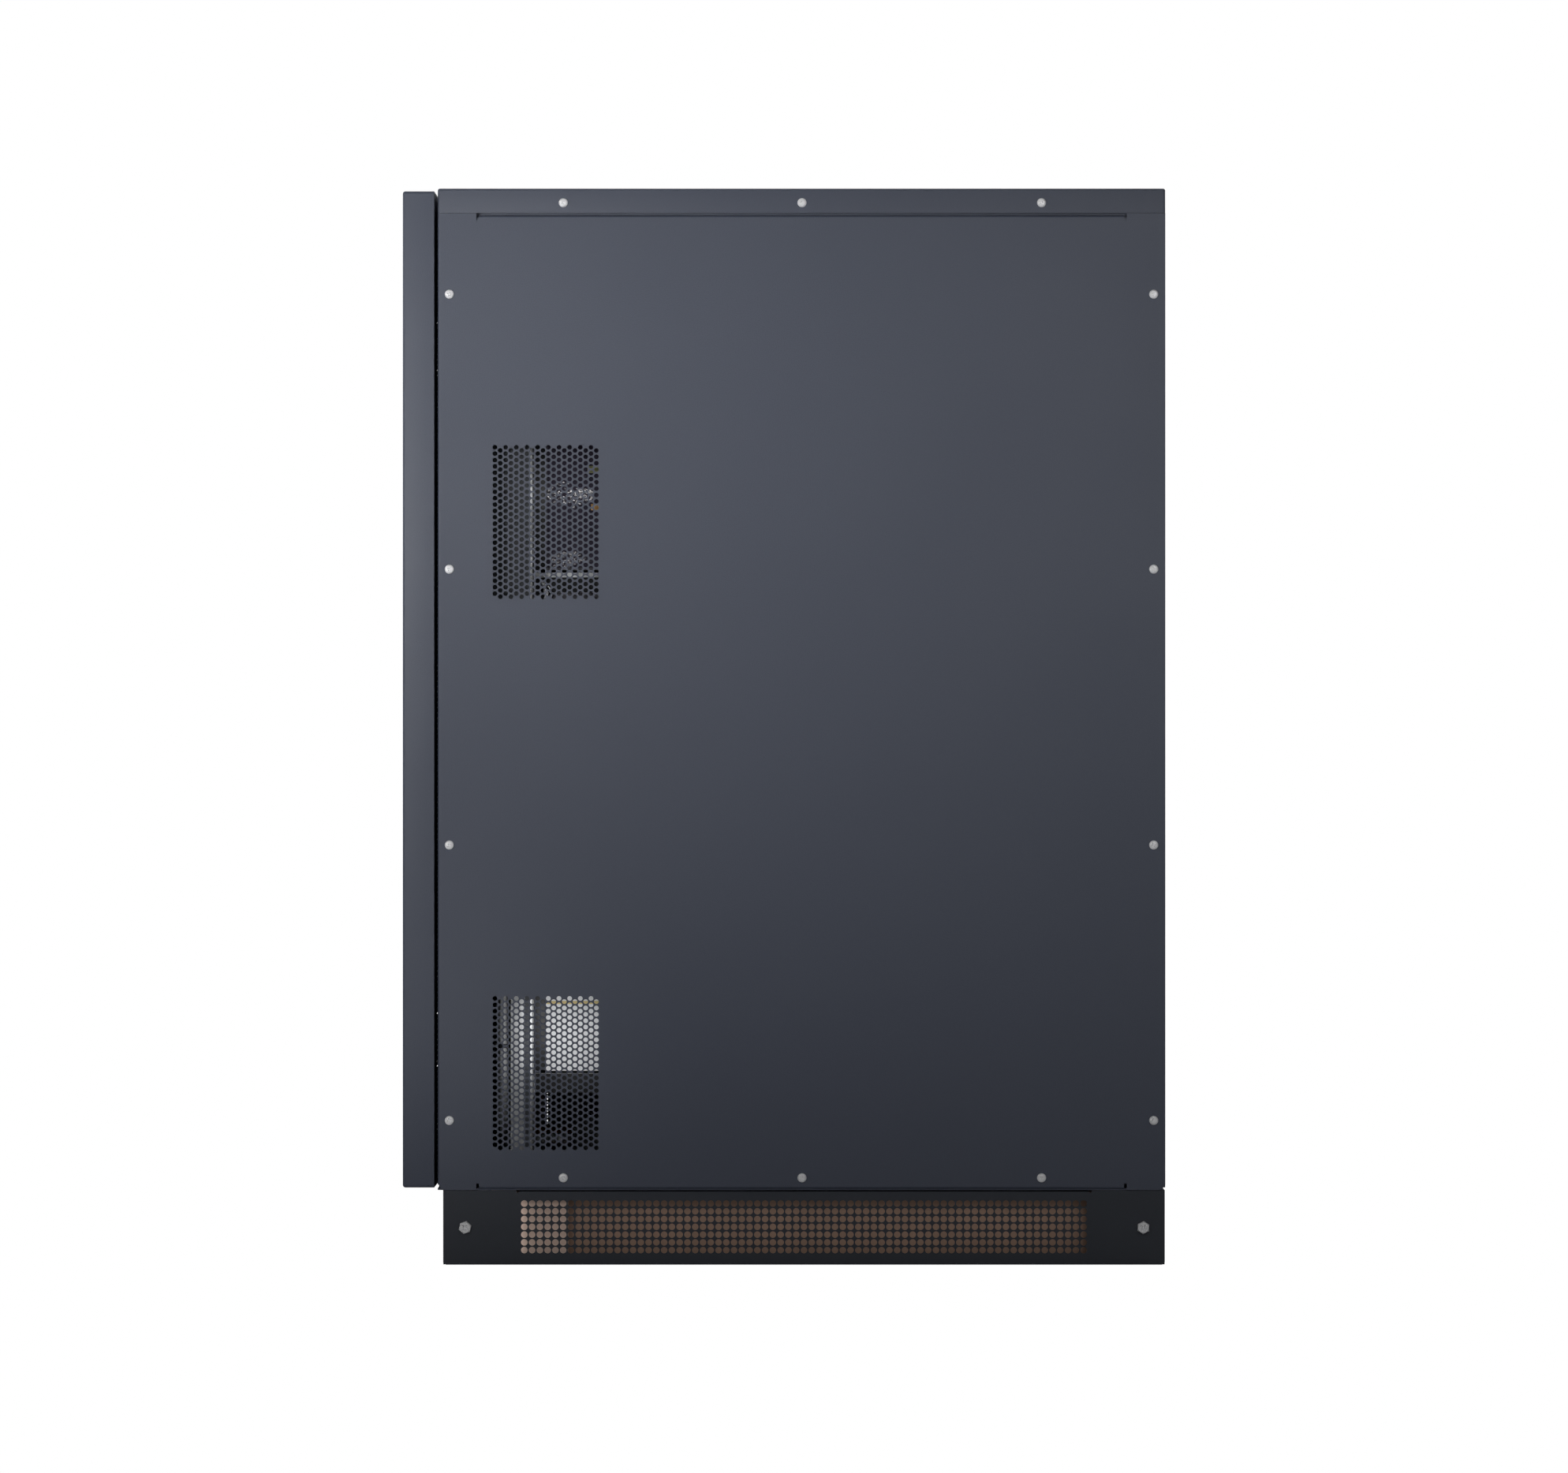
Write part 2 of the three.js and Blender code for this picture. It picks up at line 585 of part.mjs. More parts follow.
// The two output cables run down beside the rack to the terminal block on the base.
const TERMINAL = { x: 80, y: -240, z: 130 };
function outputCables() {
  const column = { x: 248, y: -314.7 };
  const socketX = 145;
  const top = socketHeight(MODULES) - PLUG_HALF + 1;
  const route = (side) => [
    [side * socketX, PLUG_Y, top],
    [side * socketX, PLUG_Y - 2, top - 14],
    [side * (socketX + 25), column.y, top - 34],
    [side * (column.x - 45), column.y, top - 44],
    [side * (column.x - 12), column.y, top - 60],
    [side * column.x, column.y, top - 105],
    [side * column.x, column.y, top - 200],
    [side * column.x, column.y, 600],
    [side * column.x, column.y, 270],
    [side * column.x, column.y, 190],
    [side * (column.x - 14), column.y, 148],
    [side * (column.x - 60), -308, TERMINAL.z],
    [side * (TERMINAL.x + 30), -288, TERMINAL.z],
    [side * TERMINAL.x, -262, TERMINAL.z],
    [side * TERMINAL.x, TERMINAL.y - CLEAR, TERMINAL.z],
  ];
  const whole = (side) => join(cable(route(side), OUTPUT_RADIUS, 60), plug(side * socketX, MODULES));
  add("output_cable_negative", whole(1), "grey");
  add("output_cable_positive", whole(-1), "orange");
}

function baseTerminals() {
  const { y, z } = TERMINAL;
  const foot = [FLOOR_TOP + CLEAR, z - 15];
  const strip = join(
    block([-105, 105], [y, y + 44], [z - 20, z + 14]),
    ...blocks([90, 105], [y + 10, y + 34], foot),
    ...[-105, -56, -2, 52, 101].map((x) => block([x, x + 4], [y, y + 44], [z, z + 26])),
  );
  add("terminal_block", strip, "black");

  const earth = join(
    block([-120, 120], [-266, -250], [98, 103]),
    ...blocks([100, 112], [-264, -252], [FLOOR_TOP + CLEAR, 99]),
  );
  add("earth_bar", earth, "copper");
}

// ---- Door, hinges and latch -----------------------------------------------------------------------
function door() {
  const z = [DOOR_BOTTOM, DOOR_TOP];
  const lipY = [DOOR_BACK - SHEET, DOOR_BACK];
  const lip = 32;
  const pan = cut(
    block([-HALF, HALF], [DOOR_FRONT, DOOR_BACK], z),
    block([-HALF + SHEET, HALF - SHEET], [DOOR_FRONT + SHEET, DOOR_BACK + 1], [z[0] + SHEET, z[1] - SHEET]),
  );
  const lips = [
    ...blocks([HALF - lip, HALF - SHEET / 2], lipY, [z[0] + 1, z[1] - 1]),
    block([-HALF + 1, HALF - 1], lipY, [1148, z[1] - 1]),
    block([-HALF + 1, HALF - 1], lipY, [z[0] + 1, OPENING_BOTTOM - 1]),
  ];
  const notches = HINGE.heights.map((height) => {
    return block([-HALF - 1, HINGE.x + 8], [DOOR_FRONT + SHEET, DOOR_BACK + 1], [height - 34, height + 34]);
  });
  const eyes = HINGE.heights.flatMap((height) => {
    return [height + 15.5, height - 27].map((low) => {
      const eye = block([HINGE.x - 6, HINGE.x + 6], [DOOR_FRONT + 1, HINGE.y + 6], [low, low + 11.5]);
      return cut(eye, bar(3.4, "z", [HINGE.x, HINGE.y], [low - 1, low + 13], 12));
    });
  });
  const latchHole = bar(38, "y", [LATCH.x, LATCH.z], [DOOR_FRONT - 1, DOOR_FRONT + SHEET + 1], 32);
  add("front_door", join(cut(join(pan, ...lips), ...notches, latchHole), ...eyes), "slate");

  const seal = { half: 279, low: 96, high: 1159, width: 9 };
  const sealY = [DOOR_BACK + CLEAR, BODY_FRONT - CLEAR];
  const gasket = cut(
    block([-seal.half, seal.half], sealY, [seal.low, seal.high]),
    block(
      [-seal.half + seal.width, seal.half - seal.width],
      [sealY[0] - 1, sealY[1] + 1],
      [seal.low + seal.width, seal.high - seal.width],
    ),
  );
  add("door_gasket", gasket, "rubber");
}

// The hinge halves on the body: a plate on the front flange, a tongue, and the pin at its end.
function hinges() {
  HINGE.heights.forEach((height, index) => {
    const plateY = [BODY_FRONT - CLEAR - 2.3, BODY_FRONT - CLEAR];
    const hinge = join(
      block([-297, -281], plateY, [height - 30, height + 30]),
      block([HINGE.x - 1.5, HINGE.x + 1.5], [HINGE.y, plateY[1]], [height - 15, height + 15]),
      bar(3, "z", [HINGE.x, HINGE.y], [height - 26, height + 26], 12),
    );
    add(index === 0 ? "hinge_lower" : "hinge_upper", hinge, "zinc");
  });
}

function latch() {
  const front = DOOR_FRONT;
  const dish = [
    [6.6, front + 12],
    [6.6, front + 14],
    [36, front + 14],
    [36, front + 4.3],
    [44, front + 4.3],
    [44, front + SHEET + CLEAR],
    [37.6, front + SHEET + CLEAR],
    [37.6, front],
    [34, front],
    [34, front + 12],
  ].reverse();
  add("latch_housing", turned(dish, LATCH), "zinc");

  // The spindle's face plate lies in the dish; its pinion drives the lock rods inside the door.
  const pivot = { y: front + 4.8, z: 22 };
  const spindle = cut(
    join(
      bar(30, "y", [LATCH.x, LATCH.z], [front + 9.4, front + 11.7], 32),
      bar(6, "y", [LATCH.x, LATCH.z], [front + 11, -372], 16),
      bar(ROD_TRAVEL_RADIUS - 0.5, "y", [LATCH.x, LATCH.z], [-382, -374], 24),
      block([LATCH.x - 6, LATCH.x + 6], [front + 2, front + 10], [LATCH.z + 18, LATCH.z + 26]),
    ),
    bar(2.9, "x", [pivot.y, LATCH.z + pivot.z], [LATCH.x - 7, LATCH.x + 7], 12),
  );
  add("latch_spindle", spindle, "zinc");

  // The folding handle: a bow whose ends are joined by the pin in the spindle's lug.
  const bow = { half: 20, thick: 6, drop: 5 };
  const arc = Array.from({ length: 13 }, (_, i) => Math.PI + (Math.PI * i) / 12);
  const outline = (inset) => [
    [bow.half - inset, pivot.z + 3 - inset],
    [-bow.half + inset, pivot.z + 3 - inset],
    ...arc.map((turn) => [(bow.half - inset) * Math.cos(turn), (bow.half - inset) * Math.sin(turn) - bow.drop]),
  ];
  const shape = new THREE.Shape(outline(0).map(([x, z]) => new THREE.Vector2(x, z)));
  shape.holes.push(new THREE.Path(outline(bow.thick).map(([x, z]) => new THREE.Vector2(x, z))));
  const plate = new THREE.ExtrudeGeometry(shape, { depth: bow.thick, bevelEnabled: false });
  plate.rotateX(Math.PI / 2).translate(LATCH.x, front + 7.8, LATCH.z);
  const gap = block([LATCH.x - 14, LATCH.x + 14], [front, front + 10], [LATCH.z + 15, LATCH.z + 30]);
  const pin = bar(2.5, "x", [pivot.y, LATCH.z + pivot.z], [LATCH.x - 16, LATCH.x + 16], 12);
  add("latch_handle", join(cut(toSolid(plate), gap), pin), "steel");

  const rodY = [-381, -375];
  const near = LATCH.x + ROD_TRAVEL_RADIUS;
  add("lock_rod_upper", block([near, near + 10], rodY, [LATCH.z - 22, 1125]), "steel");
  const far = LATCH.x - ROD_TRAVEL_RADIUS;
  add("lock_rod_lower", block([far - 10, far], rodY, [113, LATCH.z + 22]), "steel");
}

// ---- Rear fan -------------------------------------------------------------------------------------
function fan() {
  const rear = INNER_REAR;
  const y = [rear - FAN.depth, rear];
  const half = FAN.size / 2;
  const centre = [0, FAN.z];
  const spokes = [0, 1, 2].map((i) => {
    const arm = new THREE.BoxGeometry(4, 4, FAN.bore + 2);
    arm.translate(0, rear - 3, (FAN.bore + 2) / 2);
    arm.rotateY((2 * Math.PI * i) / 3);
    return toSolid(arm.translate(0, 0, FAN.z));
  });
  const frame = join(
    cut(block([-half, half], y, [FAN.z - half, FAN.z + half]), bar(FAN.bore, "y", centre, [y[0] - 1, y[1] + 1], 32)),
    bar(22, "y", centre, [rear - 6, rear - 1], 24),
    ...spokes,
  );
  add("fan_frame", frame, "black");

  const rotorY = [y[0] + 3, rear - 8];
  const blades = Array.from({ length: 7 }, (_, i) => {
    const blade = new THREE.BoxGeometry(22, 2, 36);
    blade.rotateZ(THREE.MathUtils.degToRad(35)).translate(0, (rotorY[0] + rotorY[1]) / 2, 36);
    blade.rotateY((2 * Math.PI * i) / 7);
    return toSolid(blade.translate(0, 0, FAN.z));
  });
  add("fan_rotor", join(bar(21, "y", centre, rotorY, 24), ...blades), "black");
}

plinth();
baseFrame();
topFrame();
posts();
rackRails();
sidePanels();
rearPanel();
topCover();
for (let index = 0; index < MODULES; index++) {
  shelf(index);
  batteryModule(index);
}
controlUnit();
moduleLinks();
stringCables();
outputCables();
baseTerminals();
door();
hinges();
latch();
fan();

export default cabinet;
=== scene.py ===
# The visual model of a floor-standing battery cabinet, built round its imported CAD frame.
# Lengths below are millimetres in the frame's axes (X width, Y depth with the door towards -Y, Z up);
# make() turns each finished mesh into metres.
import math
from random import Random

import bmesh
import bpy
from mathutils import Matrix, Vector
from mathutils.geometry import tessellate_polygon


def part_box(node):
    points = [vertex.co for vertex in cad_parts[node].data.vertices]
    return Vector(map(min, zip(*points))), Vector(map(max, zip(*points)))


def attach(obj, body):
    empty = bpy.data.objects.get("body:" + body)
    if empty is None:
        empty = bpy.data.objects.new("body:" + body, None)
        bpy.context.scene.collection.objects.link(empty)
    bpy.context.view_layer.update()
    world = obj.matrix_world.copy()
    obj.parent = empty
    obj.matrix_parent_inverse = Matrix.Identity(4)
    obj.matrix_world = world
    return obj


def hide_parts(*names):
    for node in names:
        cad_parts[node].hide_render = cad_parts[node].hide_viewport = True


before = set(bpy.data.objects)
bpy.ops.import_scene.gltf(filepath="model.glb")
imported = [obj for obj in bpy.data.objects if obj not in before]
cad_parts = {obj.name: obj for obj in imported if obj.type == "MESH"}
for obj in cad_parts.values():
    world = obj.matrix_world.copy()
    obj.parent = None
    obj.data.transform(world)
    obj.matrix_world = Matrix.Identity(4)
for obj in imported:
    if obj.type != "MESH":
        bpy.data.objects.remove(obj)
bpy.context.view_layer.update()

MM = 0.001
SHEET = 2.0


def box_of(node):
    """The lowest and highest corners of a CAD node, in millimetres."""
    low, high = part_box(node)
    return Vector(low) / MM, Vector(high) / MM


# ---- Places read from the frame ----
PANEL_LOW, PANEL_HIGH = box_of("side_panel_right")
DOOR_LOW, DOOR_HIGH = box_of("front_door")
COVER_LOW, COVER_HIGH = box_of("top_cover")
PLINTH_LOW, PLINTH_HIGH = box_of("plinth_side_right")
HEAD = 2.9  # how far the screw heads of a side stand out from its sheet
HALF = PANEL_HIGH.x - HEAD
BODY_FRONT = PANEL_LOW.y
BODY_REAR = PANEL_HIGH.y

CORNER_ZONE = 43.0  # plain corner of a side panel, beside its folded edge
NOTCH = (3.0, 6.0)  # relief notch at the ends of the folded edges: width, depth
EDGE_GAP = 2.7
CHAMFER = 6.0
BEND = 2.5  # outer bend radius of the folded sheets


# ---- Materials ----
class Finish:
    """A procedural material: one Principled shader with noise-driven colour, roughness and bump."""

    def __init__(self, name, colour, roughness, metallic=0.0):
        self.material = bpy.data.materials.new(name)
        self.material.use_nodes = True
        self.nodes = self.material.node_tree.nodes
        self.links = self.material.node_tree.links
        self.shader = self.nodes["Principled BSDF"]
        self.shader.inputs["Base Color"].default_value = (*colour, 1.0)
        self.shader.inputs["Roughness"].default_value = roughness
        self.shader.inputs["Metallic"].default_value = metallic
        self.colour = colour
        self.roughness = roughness
        self.coordinates = self.nodes.new("ShaderNodeTexCoord").outputs["Object"]
        self.bump_normal = None

    def stretched(self, scale):
        mapping = self.nodes.new("ShaderNodeMapping")
        mapping.inputs["Scale"].default_value = scale
        self.links.new(self.coordinates, mapping.inputs["Vector"])
        return mapping.outputs["Vector"]

    def noise(self, scale, detail=3.0, stretch=None):
        node = self.nodes.new("ShaderNodeTexNoise")
        node.inputs["Scale"].default_value = scale
        node.inputs["Detail"].default_value = detail
        self.links.new(self.stretched(stretch) if stretch else self.coordinates, node.inputs["Vector"])
        return node.outputs["Fac"]

    def cells(self, scale):
        node = self.nodes.new("ShaderNodeTexVoronoi")
        node.inputs["Scale"].default_value = scale
        self.links.new(self.coordinates, node.inputs["Vector"])
        separate = self.nodes.new("ShaderNodeSeparateColor")
        self.links.new(node.outputs["Color"], separate.inputs["Color"])
        return separate.outputs["Red"]

    def ramp(self, value, low, high, to_low=0.0, to_high=1.0):
        node = self.nodes.new("ShaderNodeMapRange")
        for name, number in zip(("From Min", "From Max", "To Min", "To Max"), (low, high, to_low, to_high)):
            node.inputs[name].default_value = number
        self.links.new(value, node.inputs["Value"])
        return node.outputs["Result"]

    def mottle(self, value, other, low=0.35, high=0.65, amount=1.0):
        """The colour runs to another colour where the value is high; calls stack on each other."""
        mix = self.nodes.new("ShaderNodeMix")
        mix.data_type = "RGBA"
        base = self.shader.inputs["Base Color"]
        if base.is_linked:
            self.links.new(base.links[0].from_socket, mix.inputs["A"])
        else:
            mix.inputs["A"].default_value = (*self.colour, 1.0)
        mix.inputs["B"].default_value = (*other, 1.0)
        self.links.new(self.ramp(value, low, high, 0.0, amount), mix.inputs["Factor"])
        self.links.new(mix.outputs["Result"], base)
        return self

    def uneven(self, value, spread, low=0.3, high=0.7):
        """The roughness varies by the given spread round its middle."""
        result = self.ramp(value, low, high, self.roughness - spread, self.roughness + spread)
        self.links.new(result, self.shader.inputs["Roughness"])
        return self

    def bump(self, value, strength, height):
        node = self.nodes.new("ShaderNodeBump")
        node.inputs["Strength"].default_value = strength
        node.inputs["Distance"].default_value = height
        self.links.new(value, node.inputs["Height"])
        if self.bump_normal:
            self.links.new(self.bump_normal, node.inputs["Normal"])
        self.bump_normal = node.outputs["Normal"]
        self.links.new(self.bump_normal, self.shader.inputs["Normal"])
        return self

    def set(self, **sockets):
        for name, value in sockets.items():
            self.shader.inputs[name.replace("_", " ")].default_value = value
        return self


def powder_coat(name, colour, roughness):
    """Fine-textured powder coat: a sub-millimetre grain over a shallow orange peel, with faint clouding."""
    finish = Finish(name, colour, roughness)
    lighter = [c * 1.14 for c in colour]
    darker = [c * 0.86 for c in colour]
    finish.mottle(finish.noise(2.2, 4.0), lighter, 0.40, 0.70, 0.3)
    finish.mottle(finish.noise(900.0, 2.0), darker, 0.45, 0.62, 0.55)
    finish.uneven(finish.noise(7.0, 5.0), 0.018)
    finish.bump(finish.noise(160.0, 2.0), 0.10, 0.0006)
    finish.bump(finish.noise(1300.0, 2.0), 0.22, 0.00018)
    return finish.material


def galvanised(name, colour=(0.50, 0.51, 0.52)):
    """Zinc-coated sheet: metallic spangle with soft rolling streaks and a little white bloom."""
    finish = Finish(name, colour, 0.38, 0.6)
    finish.mottle(finish.cells(140.0), [c * 0.78 for c in colour], 0.1, 0.9, 0.55)
    finish.mottle(finish.noise(9.0, 6.0), [c * 1.2 for c in colour], 0.5, 0.8, 0.5)
    finish.uneven(finish.cells(150.0), 0.09, 0.0, 1.0)
    finish.bump(finish.noise(500.0, 3.0, (1.0, 1.0, 0.05)), 0.12, 0.0002)
    return finish.material


def bright_metal(name, colour, roughness=0.24, metallic=0.8):
    """Plated or polished metal with fine handling marks."""
    finish = Finish(name, colour, roughness, metallic)
    finish.mottle(finish.noise(220.0, 4.0), [c * 0.85 for c in colour], 0.5, 0.75, 0.4)
    finish.uneven(finish.noise(400.0, 3.0), 0.05)
    finish.bump(finish.noise(1500.0, 2.0), 0.06, 0.00005)
    return finish.material


def moulded(name, colour, roughness, grain=1100.0, gloss=0.5):
    """Moulded plastic or rubber with a spark-eroded grain and slight colour drift."""
    finish = Finish(name, colour, roughness)
    finish.set(Specular_IOR_Level=gloss)
    finish.mottle(finish.noise(30.0, 4.0), [c * 1.25 + 0.004 for c in colour], 0.45, 0.75, 0.5)
    finish.uneven(finish.noise(60.0, 4.0), 0.07)
    finish.bump(finish.noise(grain, 2.0), 0.2, 0.00012)
    return finish.material


def crumpled_film(name, colour, roughness):
    """Thin plastic film: glossy, with creases a few millimetres apart."""
    finish = Finish(name, colour, roughness)
    finish.mottle(finish.noise(40.0, 3.0), [c * 1.2 for c in colour], 0.4, 0.7, 0.6)
    finish.uneven(finish.noise(90.0, 3.0), 0.03)
    finish.bump(finish.noise(95.0, 3.0), 0.5, 0.002)
    return finish.material


SLATE = powder_coat("slate_powder_coat", (0.066, 0.077, 0.112), 0.50)
# The body's slate paint darkened into painted shade, for the corner posts seen through the side vents.
SHADED_FRAME_COAT = powder_coat("frame_powder_coat_painted_shade", (0.020, 0.024, 0.031), 0.50)
PLINTH = powder_coat("plinth_powder_coat", (0.027, 0.032, 0.045), 0.50)
ZINC = galvanised("galvanised_sheet")
# Warm tints behind the plinth's holes: the brown is painted light bounced from the floor, and the pale tan is
# a lighter copy that paints light on the front brackets.
PAINTED_LIT_TAN = moulded("tan_with_painted_light", (0.62, 0.47, 0.39), 0.6, 500.0, 0.3)
PAINTED_BOUNCE_BROWN = moulded("brown_with_painted_bounce_light", (0.34, 0.22, 0.16), 0.6, 500.0, 0.3)
DULL_ZINC = galvanised("dull_galvanised_sheet", (0.20, 0.18, 0.165))
PLATED = bright_metal("zinc_plated_fastener", (0.92, 0.92, 0.93), 0.32, 0.1)
STEEL = bright_metal("brushed_steel", (0.62, 0.62, 0.61), 0.3)
COPPER = bright_metal("copper_bar", (0.78, 0.40, 0.22), 0.3)
WHITE = powder_coat("module_case_paint", (0.76, 0.77, 0.79), 0.42)
BLACK_COAT = powder_coat("black_panel_paint", (0.016, 0.017, 0.019), 0.48)
BLACK = moulded("black_plastic", (0.014, 0.0145, 0.016), 0.42)
RUBBER = moulded("seal_rubber", (0.011, 0.011, 0.012), 0.72, 700.0, 0.3)
ORANGE = moulded("orange_sheath", (0.72, 0.16, 0.012), 0.4)
GREY = moulded("grey_sheath", (0.52, 0.53, 0.54), 0.45)
CABLE_BLACK = moulded("black_sheath", (0.018, 0.018, 0.02), 0.4)
GREEN = moulded("green_cap", (0.03, 0.36, 0.08), 0.25, 1600.0)
CELL_BLUE = moulded("cell_film", (0.02, 0.07, 0.22), 0.3)
DARK_CASE = powder_coat("dark_case_paint", (0.026, 0.023, 0.034), 0.42)
FILM = crumpled_film("clear_film_over_dark_paint", (0.036, 0.031, 0.046), 0.07)
TAPE = moulded("pale_yellow_tape", (0.62, 0.50, 0.22), 0.5)
AMBER = moulded("amber_tab", (0.34, 0.17, 0.03), 0.5)
OLIVE = moulded("olive_tab", (0.10, 0.10, 0.03), 0.5)
CLEAR_FILM = crumpled_film("clear_film", (0.86, 0.86, 0.9), 0.2)
GLASS = Finish("display_glass", (0.006, 0.008, 0.012), 0.08).set(Coat_Weight=0.6).material


def glow(name, colour, strength):
    finish = Finish(name, colour, 0.3)
    finish.set(Emission_Color=(*colour, 1.0), Emission_Strength=strength)
    finish.bump(finish.noise(800.0, 2.0), 0.1, 0.0001)
    return finish.material


LED_GREEN = glow("green_indicator", (0.05, 0.8, 0.15), 1.2)


# ---- Mesh making ----
def make(name, bm, body, slot, material, smooth=30.0, replaces=()):
    """Turns a bmesh in millimetres into a piece that rides on a CAD body."""
    bmesh.ops.remove_doubles(bm, verts=bm.verts, dist=1e-4)
    bmesh.ops.recalc_face_normals(bm, faces=bm.faces)
    bm.transform(Matrix.Scale(MM, 4))
    mesh = bpy.data.meshes.new(name)
    bm.to_mesh(mesh)
    bm.free()
    mesh.materials.append(material)
    mesh.shade_smooth()
    mesh.set_sharp_from_angle(angle=math.radians(smooth))
    piece = bpy.data.objects.new(name, mesh)
    bpy.context.scene.collection.objects.link(piece)
    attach(piece, body)
    if replaces:
        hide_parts(*replaces)
    return piece


def carve(piece, cutter_bm):
    """Cuts a bmesh in millimetres out of a finished piece."""
    bmesh.ops.recalc_face_normals(cutter_bm, faces=cutter_bm.faces)
    cutter_bm.transform(Matrix.Scale(MM, 4))
    mesh = bpy.data.meshes.new("cutter")
    cutter_bm.to_mesh(mesh)
    cutter_bm.free()
    cutter = bpy.data.objects.new("cutter", mesh)
    bpy.context.scene.collection.objects.link(cutter)
    modifier = piece.modifiers.new("cut", "BOOLEAN")
    modifier.object = cutter
    modifier.operation = "DIFFERENCE"
    modifier.solver = "EXACT"
    bpy.context.view_layer.update()
    result = bpy.data.meshes.new_from_object(piece.evaluated_get(bpy.context.evaluated_depsgraph_get()))
    piece.modifiers.clear()
    piece.data = result
    result.set_sharp_from_angle(angle=math.radians(30.0))
    bpy.data.objects.remove(cutter)


def add_block(bm, x, y, z, radius=0.0, segments=2):
    """A box between two planes along each axis, with rounded edges."""
    made = bmesh.ops.create_cube(bm, size=1.0)["verts"]
    for vert in made:
        for axis, (low, high) in enumerate((x, y, z)):
            vert.co[axis] = low if vert.co[axis] < 0 else high
    if radius:
        edges = list({edge for vert in made for edge in vert.link_edges})
        bmesh.ops.bevel(bm, geom=edges, offset=radius, segments=segments, affect="EDGES", profile=0.5)


def facing(direction, centre):
    """A matrix that puts local +Z along a direction at a centre."""
    turn = Vector(direction).to_track_quat("Z", "Y").to_matrix().to_4x4()
    return Matrix.Translation(Vector(centre)) @ turn


def within(matrix):
    """A place function that maps (u, v, w) through a matrix."""
    return lambda u, v, w: matrix @ Vector((u, v, w))


def beside(side, a, b):
    """The range in X between two distances from the middle, on the right-hand (1) or left-hand (-1) side."""
    return sorted((side * a, side * b))


def turns_of(sides):
    """Evenly spaced angles round a full circle."""
    return [2 * math.pi * i / sides for i in range(sides)]


def ring_of(bm, place, radius, height, sides):
    points = [Vector((radius * math.cos(t), radius * math.sin(t), height)) for t in turns_of(sides)]
    return [bm.verts.new(place @ point) for point in points]


def section_ring(bm, point, way, up, radius, sides):
    """A ring of corners round a point of a bar, in the plane of two directions."""
    steps = [(radius * math.cos(t), radius * math.sin(t)) for t in turns_of(sides)]
    return [bm.verts.new(point + way * across + up * along) for across, along in steps]


def bridge(bm, rings, closed=False):
    """Quads between successive rings of as many corners; closed also joins the last ring to the first."""
    for lower, upper in zip(rings, rings[1:] + (rings[:1] if closed else [])):
        for i in range(len(lower)):
            j = (i + 1) % len(lower)
            bm.faces.new([lower[i], lower[j], upper[j], upper[i]])


def stitched(inner, outer, inner_turns, outer_turns):
    """Triangles that join an inner loop to an outer one, listed for each inner corner; turns are angles."""

    def nearest(turn):
        gaps = [abs(math.remainder(turn - other, 2 * math.pi)) for other in outer_turns]
        return gaps.index(min(gaps))

    owners = [nearest(turn) for turn in inner_turns]
    for k, step in enumerate(owners):
        following = (k + 1) % len(inner)
        triangles = [[outer[step], inner[following], inner[k]]]
        while step != owners[following]:
            beyond = (step + 1) % len(outer)
            triangles.append([outer[step], outer[beyond], inner[following]])
            step = beyond
        yield triangles


def add_leaf(bm, *grids):
    """A thin leaf between two grids of points, closed round its rim."""
    sheets = [[[bm.verts.new(point) for point in row] for row in grid] for grid in grids]
    columns, rows = len(grids[0]) - 1, len(grids[0][0]) - 1
    for a in range(columns):
        for b in range(rows):
            for sheet in sheets:
                bm.faces.new([sheet[a][b], sheet[a + 1][b], sheet[a + 1][b + 1], sheet[a][b + 1]])
    rim = [(a, 0) for a in range(columns + 1)] + [(columns, b) for b in range(1, rows + 1)]
    rim += [(a, rows) for a in range(columns - 1, -1, -1)] + [(0, b) for b in range(rows - 1, 0, -1)]
    for (a, b), (c, d) in zip(rim, rim[1:] + rim[:1]):
        bm.faces.new([sheets[0][a][b], sheets[0][c][d], sheets[1][c][d], sheets[1][a][b]])


def add_turned(bm, profile, place, sides=32):
    """A turned solid from (radius, height) points: a ring, or closed at an end where the radius is zero."""
    rings = []
    for radius, height in profile:
        on_axis = radius < 1e-6
        rings.append(ring_of(bm, place, 0.0 if on_axis else radius, height, 1 if on_axis else sides))
    pairs = list(zip(rings, rings[1:]))
    if len(rings[0]) > 1 and len(rings[-1]) > 1:
        pairs.append((rings[-1], rings[0]))
    for lower, upper in pairs:
        for i in range(sides):
            j = (i + 1) % sides
            corners = [ring[k % len(ring)] for ring, k in ((lower, i), (lower, j), (upper, j), (upper, i))]
            distinct = list(dict.fromkeys(corners))
            if len(distinct) > 2:
                bm.faces.new(distinct)


def add_prism(bm, outline, place, low, high):
    """An outline of (u, v) points extruded along w; place maps (u, v, w) into the model."""
    ends = [[bm.verts.new(place(u, v, w)) for u, v in outline] for w in (low, high)]
    for i in range(len(outline)):
        j = (i + 1) % len(outline)
        bm.faces.new([ends[0][i], ends[0][j], ends[1][j], ends[1][i]])
    for end in ends:
        triangles = tessellate_polygon([[Vector((u, v, 0.0)) for u, v in outline]])
        for corners in triangles:
            bm.faces.new([end[k] for k in corners])


def arc(centre, radius, start, end, steps):
    """Points on a circle, angles in degrees."""
    turns = [math.radians(start + (end - start) * i / steps) for i in range(steps + 1)]
    return [(centre[0] + radius * math.cos(t), centre[1] + radius * math.sin(t)) for t in turns]


def hexagon(corner):
    """A hexagon's outline, from the distance of its corners to its middle."""
    return arc((0.0, 0.0), corner, 0.0, 300.0, 5)


